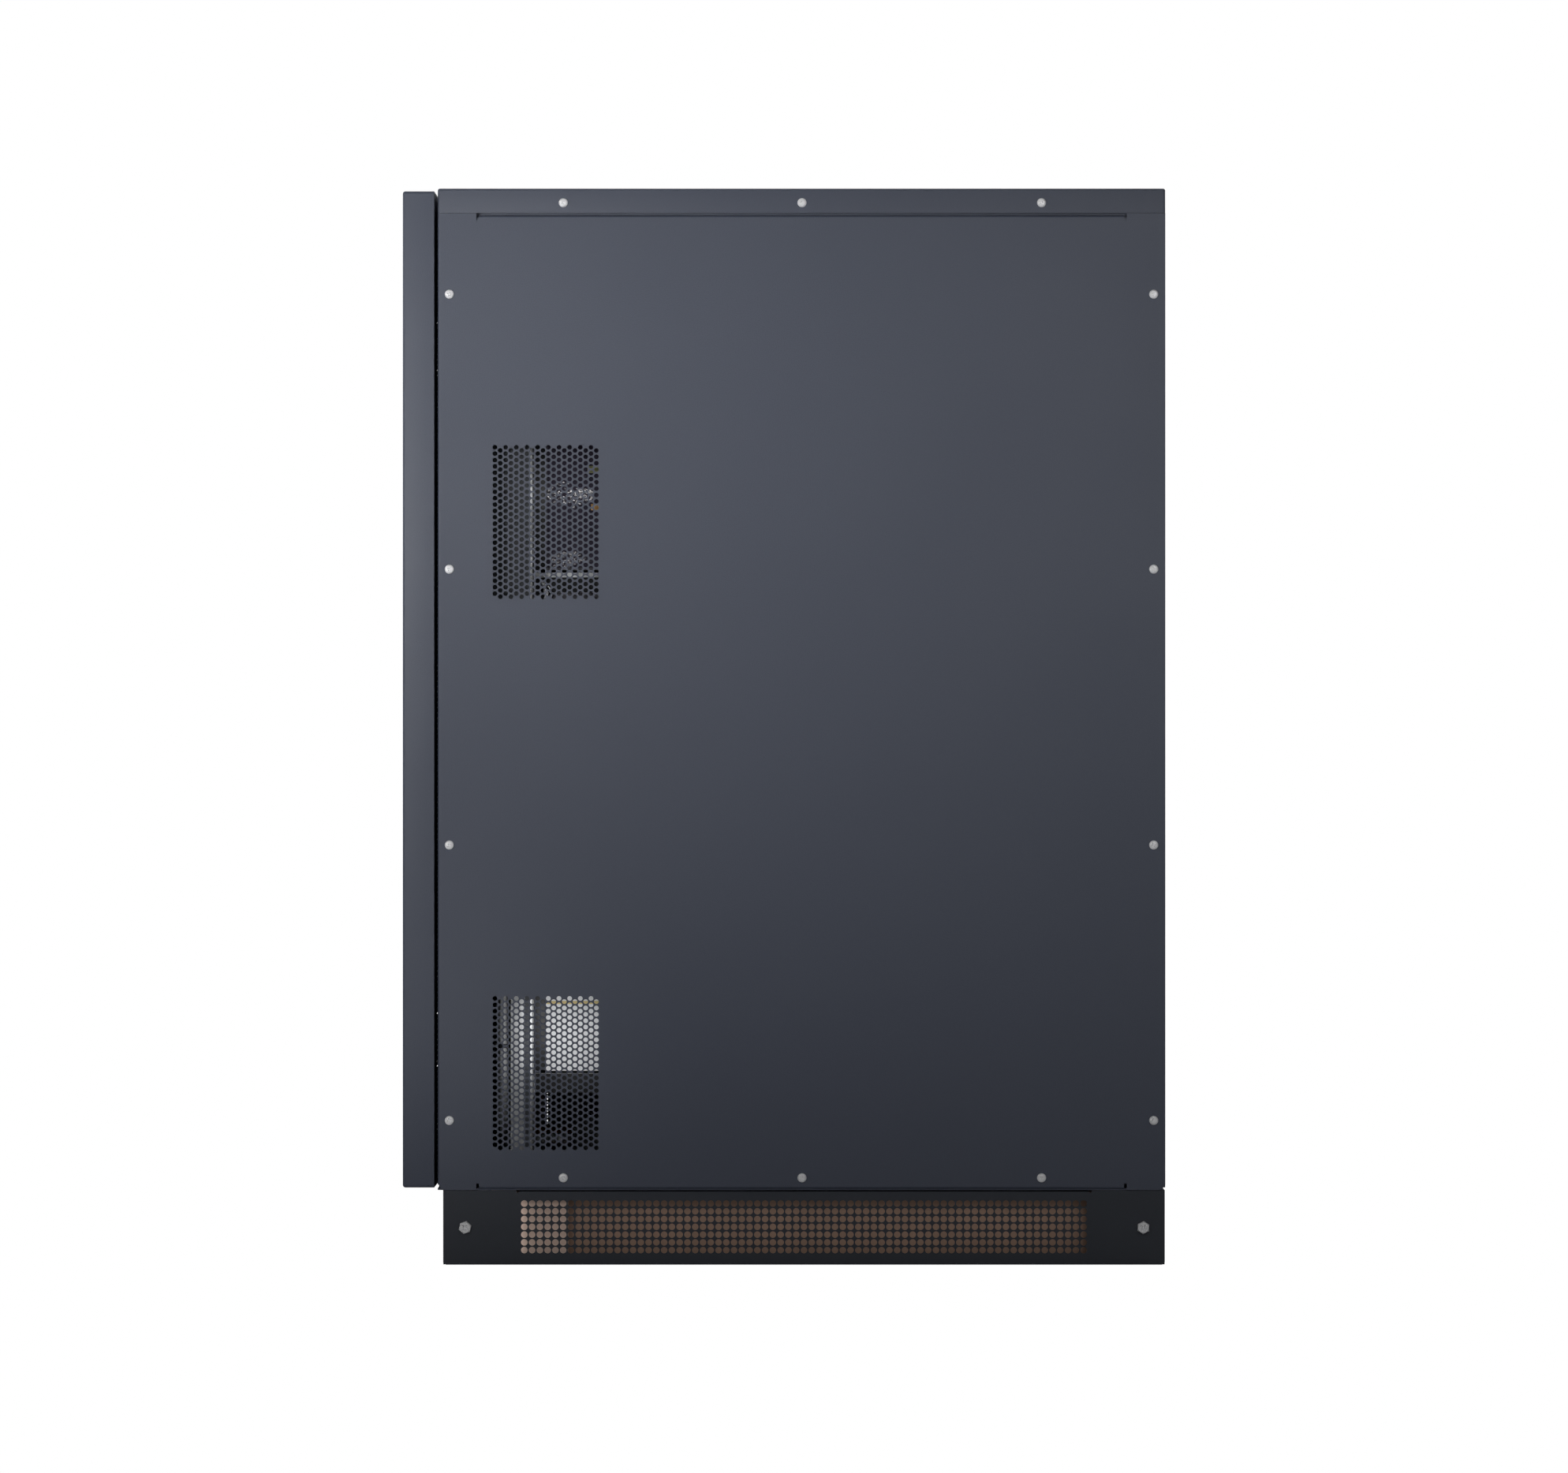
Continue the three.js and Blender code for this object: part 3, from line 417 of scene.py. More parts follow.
def add_bent_strip(bm, corner, toward, inward, length_out, length_in, place, low, high):
    """A sheet bent through a right angle at a corner: one leg runs along toward, the other along inward."""
    corner, toward, inward = Vector(corner), Vector(toward), Vector(inward)
    centre = corner + (toward + inward) * BEND
    turns = [math.pi / 2 * i / 5 for i in range(6)]

    def bow(r):
        return [centre - inward * (r * math.cos(t)) - toward * (r * math.sin(t)) for t in turns]

    outside = [corner + toward * length_out, *bow(BEND), corner + inward * length_in]
    inside = [corner + inward * length_in + toward * SHEET, *reversed(bow(BEND - SHEET))]
    inside.append(corner + toward * length_out + inward * SHEET)
    add_prism(bm, [(p.x, p.y) for p in (*outside, *inside)], place, low, high)


class Plate:
    """A flat sheet with punched holes, built in (u, v) and mapped into the model by place(u, v, w)."""

    def __init__(self, place, thickness=SHEET):
        self.bm = bmesh.new()
        self.place = place
        self.thickness = thickness
        self.known = {}

    def vert(self, u, v, w):
        key = (round(u * 1e3), round(v * 1e3), round(w * 1e3))
        if key not in self.known:
            self.known[key] = self.bm.verts.new(self.place(u, v, w))
        return self.known[key]

    def skin(self, loop):
        for w in (0.0, self.thickness):
            self.bm.faces.new([self.vert(u, v, w) for u, v in loop])

    def wall(self, loop):
        for a, b in zip(loop, loop[1:] + loop[:1]):
            corners = [(*a, 0.0), (*b, 0.0), (*b, self.thickness), (*a, self.thickness)]
            self.bm.faces.new([self.vert(*c) for c in corners])

    def cell(self, border, hole):
        """The sheet between a border loop and a hole loop, both counter-clockwise round the hole."""
        middle = Vector((sum(p[0] for p in hole), sum(p[1] for p in hole))) / len(hole)
        turns = [[math.atan2(v - middle.y, u - middle.x) for u, v in loop] for loop in (hole, border)]
        for triangles in stitched(hole, border, *turns):
            for triangle in triangles:
                self.skin(triangle)
        self.wall(hole)

    def fill(self, outline, borders=(), holes=()):
        """The sheet inside the outline, round the borders of its punched fields and its single holes."""
        loops = [[Vector((u, v, 0.0)) for u, v in loop] for loop in (outline, *borders, *holes)]
        points = [p for loop in loops for p in loop]
        for corners in sorted({tuple(sorted(corners)) for corners in tessellate_polygon(loops)}):
            self.skin([(points[k].x, points[k].y) for k in corners])
        for loop in (outline, *holes):
            self.wall(loop)

    def punched(self, corner, columns, rows, pitch, radius, staggered, sides=12):
        """A field of round holes from its low corner; returns its border loop."""
        u0, v0 = corner
        pitch_u, pitch_v = pitch
        half = pitch_v / 2
        offset = half if staggered else 0.0
        height = rows * pitch_v + offset
        for column in range(columns):
            left, right = u0 + column * pitch_u, u0 + (column + 1) * pitch_u
            start = v0 + (offset if column % 2 == 0 else 0.0)
            if staggered:
                blank = v0 if column % 2 == 0 else v0 + height - half
                self.skin([(left, blank), (right, blank), (right, blank + half), (left, blank + half)])
            for row in range(rows):
                low, high = start + row * pitch_v, start + (row + 1) * pitch_v
                border = [(left, low), (right, low), (right, high), (left, high)]
                if staggered:
                    border.insert(2, (right, low + half))
                    border.append((left, low + half))
                middle = ((left + right) / 2, (low + high) / 2)
                turn = 360.0 / sides / 2
                self.cell(border, arc(middle, radius, turn, 360.0 + turn - 360.0 / sides, sides - 1))
        step = half if staggered else pitch_v
        count = round(height / step)
        across = [u0 + c * pitch_u for c in range(columns + 1)]
        up = [v0 + i * step for i in range(count + 1)]
        border = [(u, v0) for u in across[:-1]] + [(across[-1], v) for v in up[:-1]]
        return border + [(u, up[-1]) for u in across[:0:-1]] + [(u0, v) for v in up[:0:-1]]


def side_place(side):
    """Maps (y, z, depth from the inner face) onto the right-hand or left-hand side."""
    return lambda u, v, w: Vector((side * (HALF - SHEET + w), u, v))


# ---- Fasteners ----
HEAD_SIDES = 24


def add_head(bm, place, rings, height, arm, depth):
    """A screw head from its rings, lowest first, with a cross recess in its top."""
    bm.faces.new(rings[0])
    bridge(bm, rings)
    half = arm * 0.26
    cross = []
    for quarter in range(4):
        turn = quarter * math.pi / 2
        for x, y in ((arm, -half), (arm, half), (half, half)):
            cross.append((x * math.cos(turn) - y * math.sin(turn), x * math.sin(turn) + y * math.cos(turn)))
    rim = [bm.verts.new(place @ Vector((x, y, height))) for x, y in cross]
    floor = [bm.verts.new(place @ Vector((x * 0.55, y * 0.55, height - depth))) for x, y in cross]
    turns = [math.atan2(y, x) for x, y in cross]
    for k, triangles in enumerate(stitched(rim, rings[-1], turns, turns_of(HEAD_SIDES))):
        for triangle in triangles:
            bm.faces.new(triangle)
        following = (k + 1) % len(rim)
        bm.faces.new([rim[k], rim[following], floor[following], floor[k]])
    bm.faces.new(floor)


def add_pan_screw(bm, centre, direction, radius, height, turn):
    """A pan-head screw with a cross recess, standing on a face."""
    place = facing(direction, centre) @ Matrix.Rotation(math.radians(turn), 4, "Z")
    profile = [(1.0, 0.0), (1.0, 0.35), (0.95, 0.68), (0.8, 0.9), (0.6, 1.0)]
    rings = [ring_of(bm, place, radius * r, height * h, HEAD_SIDES) for r, h in profile]
    add_head(bm, place, rings, height, radius * 0.5, height * 0.6)


def add_hex_bolt(bm, centre, direction, flats, height, turn):
    """A hexagon-head bolt with a chamfered top and a cross recess."""
    place = facing(direction, centre) @ Matrix.Rotation(math.radians(turn), 4, "Z")
    rings = []
    for height_share, round_share in ((0.0, 0.0), (0.72, 0.0), (1.0, 1.0)):
        ring = []
        for t in turns_of(HEAD_SIDES):
            flat = flats / 2 / math.cos((t + math.pi / 6) % (math.pi / 3) - math.pi / 6)
            r = flat * (1 - round_share) + flats * 0.46 * round_share
            corner = Vector((r * math.cos(t), r * math.sin(t), height * height_share))
            ring.append(bm.verts.new(place @ corner))
        rings.append(ring)
    rings.append(ring_of(bm, place, flats / 2 / math.cos(math.pi / 6) * 0.62, height, HEAD_SIDES))
    add_head(bm, place, rings, height, flats * 0.3, height * 0.5)


def add_nut(bm, centre, direction, flats, height):
    """A plain hexagon nut with a stud through it."""
    place = facing(direction, centre)
    add_turned(bm, [(0.0, 0.0), (flats * 0.72, 0.0), (flats * 0.72, 1.2), (0.0, 1.2)], place, 20)
    add_prism(bm, hexagon(flats / 2 / math.cos(math.pi / 6)), within(place), 1.2, height)
    stud = flats * 0.29
    top = height + flats * 0.35
    add_turned(bm, [(0.0, 1.2), (stud, 1.2), (stud, top - 0.6), (stud - 0.6, top), (0.0, top)], place, 16)


# ---- Body panels ----
VENT = {"columns": 20, "rows": 24, "pitch": (5.95, 7.09), "radius": 2.7, "setback": 60.8}
VENT_HEIGHTS = (126.8, 741.3)  # lower edges of the two vents of a side panel
FRONT_FOLD, EDGE_FOLD = 33.7, 9.7  # how far a side's bent edges reach inwards


def side_panel(side, name):
    """One side: a punched sheet with its front, upper and lower edges bent inwards."""
    low, top = PANEL_LOW.z, PANEL_HIGH.z
    edge_low, edge_top = low + 1.3, COVER_LOW.z - EDGE_GAP
    front, rear = BODY_FRONT, BODY_REAR
    wide, deep = NOTCH
    fold = (front + CORNER_ZONE, rear - CORNER_ZONE)
    inner = (fold[0] + wide, fold[1] - wide)
    plate = Plate(side_place(side))
    outline = [(front + CHAMFER, low), (fold[0], low), (fold[0], edge_low + deep)]
    outline += [(inner[0], edge_low + deep), (inner[0], edge_low + BEND), (inner[1], edge_low + BEND)]
    outline += [(inner[1], edge_low + deep), (fold[1], edge_low + deep), (fold[1], low)]
    outline += [(rear - CHAMFER, low), (rear, low + CHAMFER)]
    outline += [(rear, top), (fold[1], top), (fold[1], edge_top - deep), (inner[1], edge_top - deep)]
    outline += [(inner[1], edge_top - BEND), (inner[0], edge_top - BEND), (inner[0], edge_top - deep)]
    outline += [(fold[0], edge_top - deep), (fold[0], top), (front + BEND, top)]
    outline.append((front + BEND, low + CHAMFER - BEND))
    columns, rows, pitch, radius = (VENT[key] for key in ("columns", "rows", "pitch", "radius"))
    corners = [(front + VENT["setback"], height) for height in VENT_HEIGHTS]
    borders = [plate.punched(corner, columns, rows, pitch, radius, True) for corner in corners]
    plate.fill(outline, borders)

    def across(u, v, w):  # (x, y) section along z
        return Vector((side * u, v, w))

    def along(u, v, w):  # (x, z) section along y
        return Vector((side * u, w, v))

    add_bent_strip(plate.bm, (HALF, front), (0, 1), (-1, 0), BEND, FRONT_FOLD, across, low + CHAMFER, top)
    for height, up in ((edge_top, -1), (edge_low, 1)):
        add_bent_strip(plate.bm, (HALF, height), (0, up), (-1, 0), BEND, EDGE_FOLD, along, *inner)
    make(f"{name}_skin", plate.bm, "cabinet", "slate_paint", SLATE, replaces=[name])


def side_screws(side, name):
    """Pan-head screws: a row on the cover's flange, a row along the foot, and a column at each edge."""
    bm = bmesh.new()
    rng = Random(11 if side > 0 else 12)
    out = (side, 0.0, 0.0)
    places = [(BODY_FRONT + y, z) for y in (140.0, 406.0, 673.0) for z in (COVER_LOW.z + 11.3, 97.0)]
    places += [(y, z) for y in (BODY_FRONT + 13.0, BODY_REAR - 13.0) for z in (161.0, 468.0, 775.5, 1082.0)]
    for y, z in places:
        add_pan_screw(bm, (side * HALF, y, z), out, 5.1, 2.9, rng.uniform(0, 90))
    make(f"{name}_screws", bm, "cabinet", "steel", PLATED)


def folded_pan(name, low, high, open_side, body, slot, material, replaces, radius=3.0):
    """A shallow pan of bent sheet: a rounded box without one face, thickened inwards."""
    bm = bmesh.new()
    bmesh.ops.create_cube(bm, size=1.0)
    for vert in bm.verts:
        for axis in range(3):
            vert.co[axis] = low[axis] if vert.co[axis] < 0 else high[axis]
    normal = Vector(open_side)
    opened = max(bm.faces, key=lambda f: f.normal.dot(normal))
    keep = set(opened.edges)
    bmesh.ops.delete(bm, geom=[opened], context="FACES_ONLY")
    edges = [edge for edge in bm.edges if edge not in keep]
    bmesh.ops.bevel(bm, geom=edges, offset=radius, segments=4, affect="EDGES", profile=0.5)
    bmesh.ops.recalc_face_normals(bm, faces=bm.faces)
    centre = (Vector(low) + Vector(high)) / 2
    if sum(f.normal.dot(f.calc_center_median() - centre) * f.calc_area() for f in bm.faces) < 0:
        bmesh.ops.reverse_faces(bm, faces=bm.faces)
    bmesh.ops.solidify(bm, geom=bm.faces[:], thickness=SHEET)
    return make(name, bm, body, slot, material, replaces=replaces)


def top_cover():
    low = Vector((-HALF, COVER_LOW.y, COVER_LOW.z))
    high = Vector((HALF, COVER_HIGH.y, COVER_HIGH.z))
    folded_pan("roof", low, high, (0, 0, -1), "cabinet", "slate_paint", SLATE, ["top_cover"], BEND)


# ---- Plinth ----
PLINTH_FIELD = {"rows": 7, "pitch": 8.66, "radius": 3.75, "low": 11.9}


def plinth_panel(name, place, start, end, columns, flange_place, flange, notch_at):
    """A plinth plate with a field of round holes, relief notches in its top edge and folded edges."""
    height = PLINTH_HIGH.z
    pitch, rows, radius = PLINTH_FIELD["pitch"], PLINTH_FIELD["rows"], PLINTH_FIELD["radius"]
    plate = Plate(place)
    first = (start + end - columns * pitch) / 2
    border = plate.punched((first, PLINTH_FIELD["low"]), columns, rows, (pitch, pitch), radius, False)
    chamfer, notch, notch_floor, fold_top = 3.0, 1.5, height - 2.5, height - 1.4
    left, right = start + notch_at, end - notch_at
    outline = [(start + chamfer, 0.0), (end - chamfer, 0.0), (end, chamfer), (end, height)]
    outline += [(right + notch, height), (right + notch, notch_floor), (right - notch, notch_floor)]
    outline += [(right - notch, fold_top), (left + notch, fold_top), (left + notch, notch_floor)]
    outline += [(left - notch, notch_floor), (left - notch, height), (start, height), (start, chamfer)]
    plate.fill(outline, [border])
    for low in (0.2, height - 1.6 - SHEET):
        points = [(left + 2, low), (right - 2, low), (right - 2, low + SHEET), (left + 2, low + SHEET)]
        add_prism(plate.bm, points, flange_place, *flange)
    make(f"{name}_skin", plate.bm, "cabinet", "plinth_paint", PLINTH, replaces=[name])


def plinth():
    outer = HALF - SHEET
    front, rear, top = PLINTH_LOW.y, PLINTH_HIGH.y, PLINTH_HIGH.z
    for side, name in ((1, "plinth_side_right"), (-1, "plinth_side_left")):

        def plate_place(u, v, w, side=side):
            return Vector((side * (outer - SHEET + w), u, v))

        def flange_place(u, v, w, side=side):
            return Vector((side * w, u, v))

        plinth_panel(name, plate_place, front, rear, 73, flange_place, (outer - 30.0, outer - SHEET), 83.0)
    for name, outward in (("plinth_front", -1), ("plinth_rear", 1)):
        low, high = box_of(name)
        face = low.y if outward < 0 else high.y

        def end_place(u, v, w, face=face, outward=outward):
            return Vector((u, face + outward * (w - SHEET), v))

        flange = (face - outward * SHEET, face - outward * 36.0)
        plinth_panel(name, end_place, low.x, high.x, 46, lambda u, v, w: Vector((u, w, v)), flange, 70.0)
        bm = bmesh.new()
        for side in (-1, 1):
            y = sorted((face - outward * SHEET, face - outward * 48.0))
            add_block(bm, beside(side, high.x, high.x - SHEET), y, (0.6, top - 0.6), 0.3)
        y = sorted((face - outward * 34.0, face - outward * 37.0))
        add_block(bm, (30.0 - high.x, high.x - 30.0), y, (2.3, top - 3.8), 0.4)
        make(f"{name}_tabs", bm, "cabinet", "plinth_paint", PLINTH)

    bolts, brackets, channels = bmesh.new(), bmesh.new(), bmesh.new()
    rng = Random(5)
    for side in (-1, 1):
        for y in (front + 24.5, rear - 24.0):
            add_hex_bolt(bolts, (side * outer, y, top / 2), (side, 0, 0), 12.6, 4.8, rng.uniform(0, 60))
        web = beside(side, outer - 28, outer - 25)
        add_block(channels, web, (front + 6, rear - 6), (2.3, top - 2.3), 1.0)
        for z in (2.3, top - 5.3):
            flange = beside(side, outer - 80, outer - 26)
            add_block(channels, flange, (front + 52, rear - 52), (z, z + 3.0), 1.0)
        y = (front + 80, front + 139)
        add_block(brackets, beside(side, outer - 13, outer - 10), y, (2.3, top - 2.3), 1.0)
        add_block(brackets, beside(side, outer - 25, outer - 10), y, (2.3, 5.3), 1.0)
    make("plinth_bolts", bolts, "cabinet", "steel", PLATED)
    # Painted light: the front brackets take the lighter tan, the channels the brown bounce tint.
    make("floor_brackets", brackets, "cabinet", "zinc", PAINTED_LIT_TAN)
    make("plinth_channels", channels, "cabinet", "zinc", PAINTED_BOUNCE_BROWN)

    beam = bmesh.new()
    y = (front + 50, rear - 50)
    add_block(beam, (-1.5, 1.5), y, (2.5, top - 2.5), 0.8)
    for z in (2.5, top - 5.0):
        add_block(beam, (1.0, 32.0), y, (z, z + 2.5), 0.8)
    make("plinth_beam", beam, "cabinet", "plinth_paint", PLINTH)


# ---- Door ----
LATCH_LOW, LATCH_HIGH = box_of("latch_housing")
LATCH = Vector(((LATCH_LOW.x + LATCH_HIGH.x) / 2, LATCH_LOW.y, (LATCH_LOW.z + LATCH_HIGH.z) / 2))
HINGE_NODES = ("hinge_lower", "hinge_upper")
HINGE_X, HINGE_Y = -288.0, -412.0  # the door's hinge axis
HINGE_ROOM = 34.0  # cut out of the door above and below a hinge's middle


def hinge_heights():
    boxes = [box_of(node) for node in HINGE_NODES]
    return [(low.z + high.z) / 2 for low, high in boxes]


def door():
    low, high = DOOR_LOW, DOOR_HIGH
    shell = folded_pan("door_shell", low, high, (0, 1, 0), "door", "slate_paint", SLATE, ["front_door"])
    cutters = bmesh.new()
    add_turned(cutters, [(0, -4), (38, -4), (38, 6), (0, 6)], facing((0, 1, 0), LATCH), 64)
    for z in hinge_heights():
        room = (z - HINGE_ROOM, z + HINGE_ROOM)
        add_block(cutters, (low.x - 5, HINGE_X + 8), (low.y + 3.5, high.y + 5), room)
    carve(shell, cutters)

    lips = bmesh.new()
    y = (high.y - SHEET, high.y)
    lip = 32.0
    rooms = [edge for z in hinge_heights() for edge in (z - HINGE_ROOM, z + HINGE_ROOM)]
    zones = [low.z + 2.4, *rooms, high.z - 2.4]
    add_block(lips, (high.x - lip, high.x - 2.2), y, (zones[0], zones[-1]), 0.4)
    for start, end in zip(zones[::2], zones[1::2]):
        add_block(lips, (low.x + 2.2, low.x + lip), y, (start, end), 0.4)
    for start, end in zip(zones[1:-1:2], zones[2:-1:2]):
        add_block(lips, (HINGE_X + 8, low.x + lip), y, (start - 1, end + 1), 0.4)
    for z in ((1148.0, high.z - 2.2), (low.z + 2.2, 107.0)):
        add_block(lips, (low.x + lip - 1, high.x - lip + 1), y, z, 0.4)
    make("door_inner_lips", lips, "door", "slate_paint", SLATE)

    ribs = bmesh.new()
    section = [(-26, 0), (-14, 0), (-11, 14), (11, 14), (14, 0), (26, 0), (26, 1.6), (15.4, 1.6)]
    section += [(12.3, 15.6), (-12.3, 15.6), (-15.4, 1.6), (-26, 1.6)]
    for x in (-150.0, 60.0):

        def rib_place(u, v, w, x=x):
            return Vector((x + u, low.y + SHEET + 0.2 + v, w))

        add_prism(ribs, section, rib_place, low.z + 60, high.z - 70)
    make("door_stiffeners", ribs, "door", "slate_paint", SLATE)

    eyes = bmesh.new()
    for z in hinge_heights():
        for start in (z + 15.5, z - 27.0):
            place = facing((0, 0, 1), (HINGE_X, HINGE_Y, start))
            add_turned(eyes, [(3.4, 0), (5.8, 0), (5.8, 11.5), (3.4, 11.5)], place, 24)
            arm = (HINGE_X - 5.5, HINGE_X + 5.5)
            add_block(eyes, arm, (low.y + 1.8, HINGE_Y - 4), (start, start + 11.5), 0.6)
    make("door_hinge_eyes", eyes, "door", "zinc", ZINC)


def door_seal():
    """A foam seal on the door's lips, moulded in short slanting segments."""
    low, high = box_of("door_gasket")
    bm = bmesh.new()
    width, pitch, slant = 9.0, 5.8, 2.6
    y0, y1 = low.y + 0.1, high.y

    def segment(start, end, along, across_low):
        """One rib between two places along an axis, leaning across the seal's thickness."""
        corners = []
        for across in (across_low, across_low + width):
            for y, lean in ((y0, 0.0), (y1, slant)):
                for place in (start + lean, end + lean):
                    corners.append((across, y, place) if along == "z" else (place, y, across))
        made = [bm.verts.new(c) for c in corners]
        for face in ((0, 1, 3, 2), (4, 6, 7, 5), (0, 4, 5, 1), (2, 3, 7, 6), (0, 2, 6, 4), (1, 5, 7, 3)):
            bm.faces.new([made[k] for k in face])

    count = int((high.z - low.z - 2 * width) / pitch)
    step = (high.z - low.z - slant) / count
    for across_low in (low.x, high.x - width):
        for i in range(count):
            segment(low.z + i * step, low.z + (i + 0.8) * step, "z", across_low)
    count = int((high.x - low.x - 2 * width) / pitch)
    step = (high.x - low.x - 2 * width) / count
    for across_low in (low.z, high.z - width):
        for i in range(count):
            segment(low.x + width + i * step, low.x + width + (i + 0.8) * step - slant, "x", across_low)
    backing = (y0, y0 + 1.2)
    for x in ((low.x, low.x + width), (high.x - width, high.x)):
        add_block(bm, x, backing, (low.z, high.z))
    for z in ((low.z, low.z + width), (high.z - width, high.z)):
        add_block(bm, (low.x + width, high.x - width), backing, z)
    make("door_seal", bm, "door", "seal_rubber", RUBBER, replaces=["door_gasket"])


def soften(node, material, width=0.4, segments=2):
    """A CAD node that stays: its finish, and small rounded edges."""
    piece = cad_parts[node]
    piece.data.materials.clear()
    piece.data.materials.append(material)
    modifier = piece.modifiers.new("edges", "BEVEL")
    modifier.width = width * MM
    modifier.segments = segments
    modifier.limit_method = "ANGLE"
    modifier.angle_limit = math.radians(40)
    modifier.harden_normals = False


def latch():
    """The round flush latch: dish, spindle with its pinion, folding bow, cover, toothed rods and guides."""
    centre_x, front, centre_z = LATCH
    place = facing((0, 1, 0), (centre_x, front, centre_z))
    dish = bmesh.new()
    profile = [(6.6, 12.0), (32.0, 12.0), (33.4, 11.2), (34.0, 9.5), (34.0, 1.2), (34.7, 0.3), (35.5, 0.0)]
    profile += [(37.2, 0.0), (37.6, 0.4), (37.6, 2.3), (44.0, 2.3), (44.0, 4.3), (36.0, 4.3), (36.0, 14.0)]
    add_turned(dish, [*profile, (6.6, 14.0)], place, 96)
    make("latch_dish", dish, "door", "black_plastic", BLACK, replaces=["latch_housing"])

    pivot_y, pivot_z = front + 4.8, centre_z + 22.0
    spindle = bmesh.new()
    face = [(0.0, 9.4), (28.0, 9.4), (29.2, 9.7), (29.8, 10.3), (29.8, 11.7), (0.0, 11.7)]
    add_turned(spindle, face, place, 96)
    add_turned(spindle, [(0.0, 11.7), (6.0, 11.7), (6.0, 53.0), (0.0, 53.0)], place, 32)
    gear = []
    teeth = 12
    for i in range(teeth):
        for share, radius in ((-0.32, 10.2), (-0.14, 12.6), (0.14, 12.6), (0.32, 10.2)):
            t = 2 * math.pi * (i + share) / teeth
            gear.append((radius * math.cos(t), radius * math.sin(t)))
    add_prism(spindle, gear, within(place), 43.0, 51.0)
    for x in ((-6.0, -1.0), (1.0, 6.0)):
        lug = (centre_x + x[0], centre_x + x[1])
        add_block(spindle, lug, (front + 2.0, front + 9.6), (pivot_z - 4.0, pivot_z + 4.0), 0.9, 3)
    make("latch_core", spindle, "latch", "zinc", STEEL, replaces=["latch_spindle"])

    bow = bmesh.new()
    half, drop, thick = 17.0, 5.0, 2.9
    path = [(-half, z) for z in (19.5, 14.0, 8.0, 2.0)]
    path += arc((0.0, -drop), half, 180.0, 360.0, 16)
    path += [(half, z) for z in (2.0, 8.0, 14.0, 19.5)]
    add_tube(bow, [Vector((centre_x + x, pivot_y, centre_z + z)) for x, z in path], thick, 16)
    knuckle = facing((1, 0, 0), (centre_x - 19.5, pivot_y, pivot_z))
    profile = [(0, 0), (2.9, 0), (2.9, 6), (2.4, 6.4), (2.4, 32.6), (2.9, 33), (2.9, 39), (0, 39)]
    add_turned(bow, profile, knuckle, 20)
    make("latch_bow_bar", bow, "latch_bow", "steel", STEEL, 50.0, replaces=["latch_handle"])

    cover = bmesh.new()
    heights = (centre_z - 34, centre_z + 34)
    add_block(cover, (centre_x - 31, centre_x + 31), (-394, -392), heights, 0.6)
    for x in ((centre_x - 31, centre_x - 29), (centre_x + 29, centre_x + 31)):
        add_block(cover, x, (-394, -373), heights, 0.6)
    make("latch_gear_cover", cover, "door", "zinc", ZINC)

    for node, side, body in (("lock_rod_upper", 1, "upper_rod"), ("lock_rod_lower", -1, "lower_rod")):
        low, high = box_of(node)
        rod = bmesh.new()
        inner = low.x if side > 0 else high.x
        add_block(rod, (low.x + 0.2, high.x - 0.2), (low.y, high.y), (low.z, high.z), 0.8, 3)
        tooth_x = sorted((inner + side * 0.6, inner - side * 1.0))
        for i in range(7):
            z = centre_z + (i - 3) * 6.0 + (0 if side > 0 else 3.0)
            add_block(rod, tooth_x, (low.y + 0.4, high.y - 0.4), (z - 1.4, z + 1.4))
        end = high.z - 14 if side > 0 else low.z + 14
        roller = facing((0, 1, 0), ((low.x + high.x) / 2, high.y, end))
        add_turned(rod, [(0, 0), (7.5, 0), (8.0, 0.5), (8.0, 6.0), (7.5, 6.5), (0, 6.5)], roller, 32)
        make(f"{node}_bar", rod, body, "steel", STEEL, replaces=[node])

    guides = bmesh.new()
    foot = (DOOR_LOW.y + SHEET + 0.2, DOOR_LOW.y + 4.5)
    for x, heights in ((centre_x + 17, (760.0, 960.0, 1090.0)), (centre_x - 17, (150.0, 320.0, 520.0))):
        for z in heights:
            add_block(guides, (x - 12, x + 12), foot, (z - 9, z + 9), 0.5)
            for dx in ((-8.5, -6.5), (6.5, 8.5)):
                add_block(guides, (x + dx[0], x + dx[1]), (DOOR_LOW.y + 4, -373.5), (z - 6, z + 6), 0.5)
            add_block(guides, (x - 8.5, x + 8.5), (-373.8, -371.8), (z - 6, z + 6), 0.5)
    make("rod_guides", guides, "door", "zinc", ZINC)


def add_tube(bm, route, radius, sides=16):
    """A round bar or cable along a list of points, capped at its ends."""
    rings = []
    side_way = None
    for i, point in enumerate(route):
        ahead = route[min(i + 1, len(route) - 1)] - route[max(i - 1, 0)]
        ahead.normalize()
        if side_way is None:
            side_way = ahead.orthogonal().normalized()
        side_way = (side_way - ahead * side_way.dot(ahead)).normalized()
        rings.append(section_ring(bm, point, side_way, ahead.cross(side_way), radius, sides))
    bridge(bm, rings)
    bm.faces.new(rings[0])
    bm.faces.new(rings[-1])


def hinges():
    for node in HINGE_NODES:
        soften(node, ZINC, 0.4)
    bm = bmesh.new()
    for z in hinge_heights():
        for dz in (-22.0, 22.0):
            centre = (HINGE_X - 4.0, box_of(HINGE_NODES[0])[1].y - 2.3, z + dz)
            place = facing((0, -1, 0), centre)
            add_turned(bm, [(0, 0), (3.2, 0), (3.2, 0.2), (2.2, 0.45), (0, 0.45)], place, 20)
    make("hinge_screws", bm, "cabinet", "steel", PLATED)


side_panel(1, "side_panel_right")
side_panel(-1, "side_panel_left")
side_screws(1, "side_right")
side_screws(-1, "side_left")
top_cover()
plinth()
door()
door_seal()
latch()
hinges()

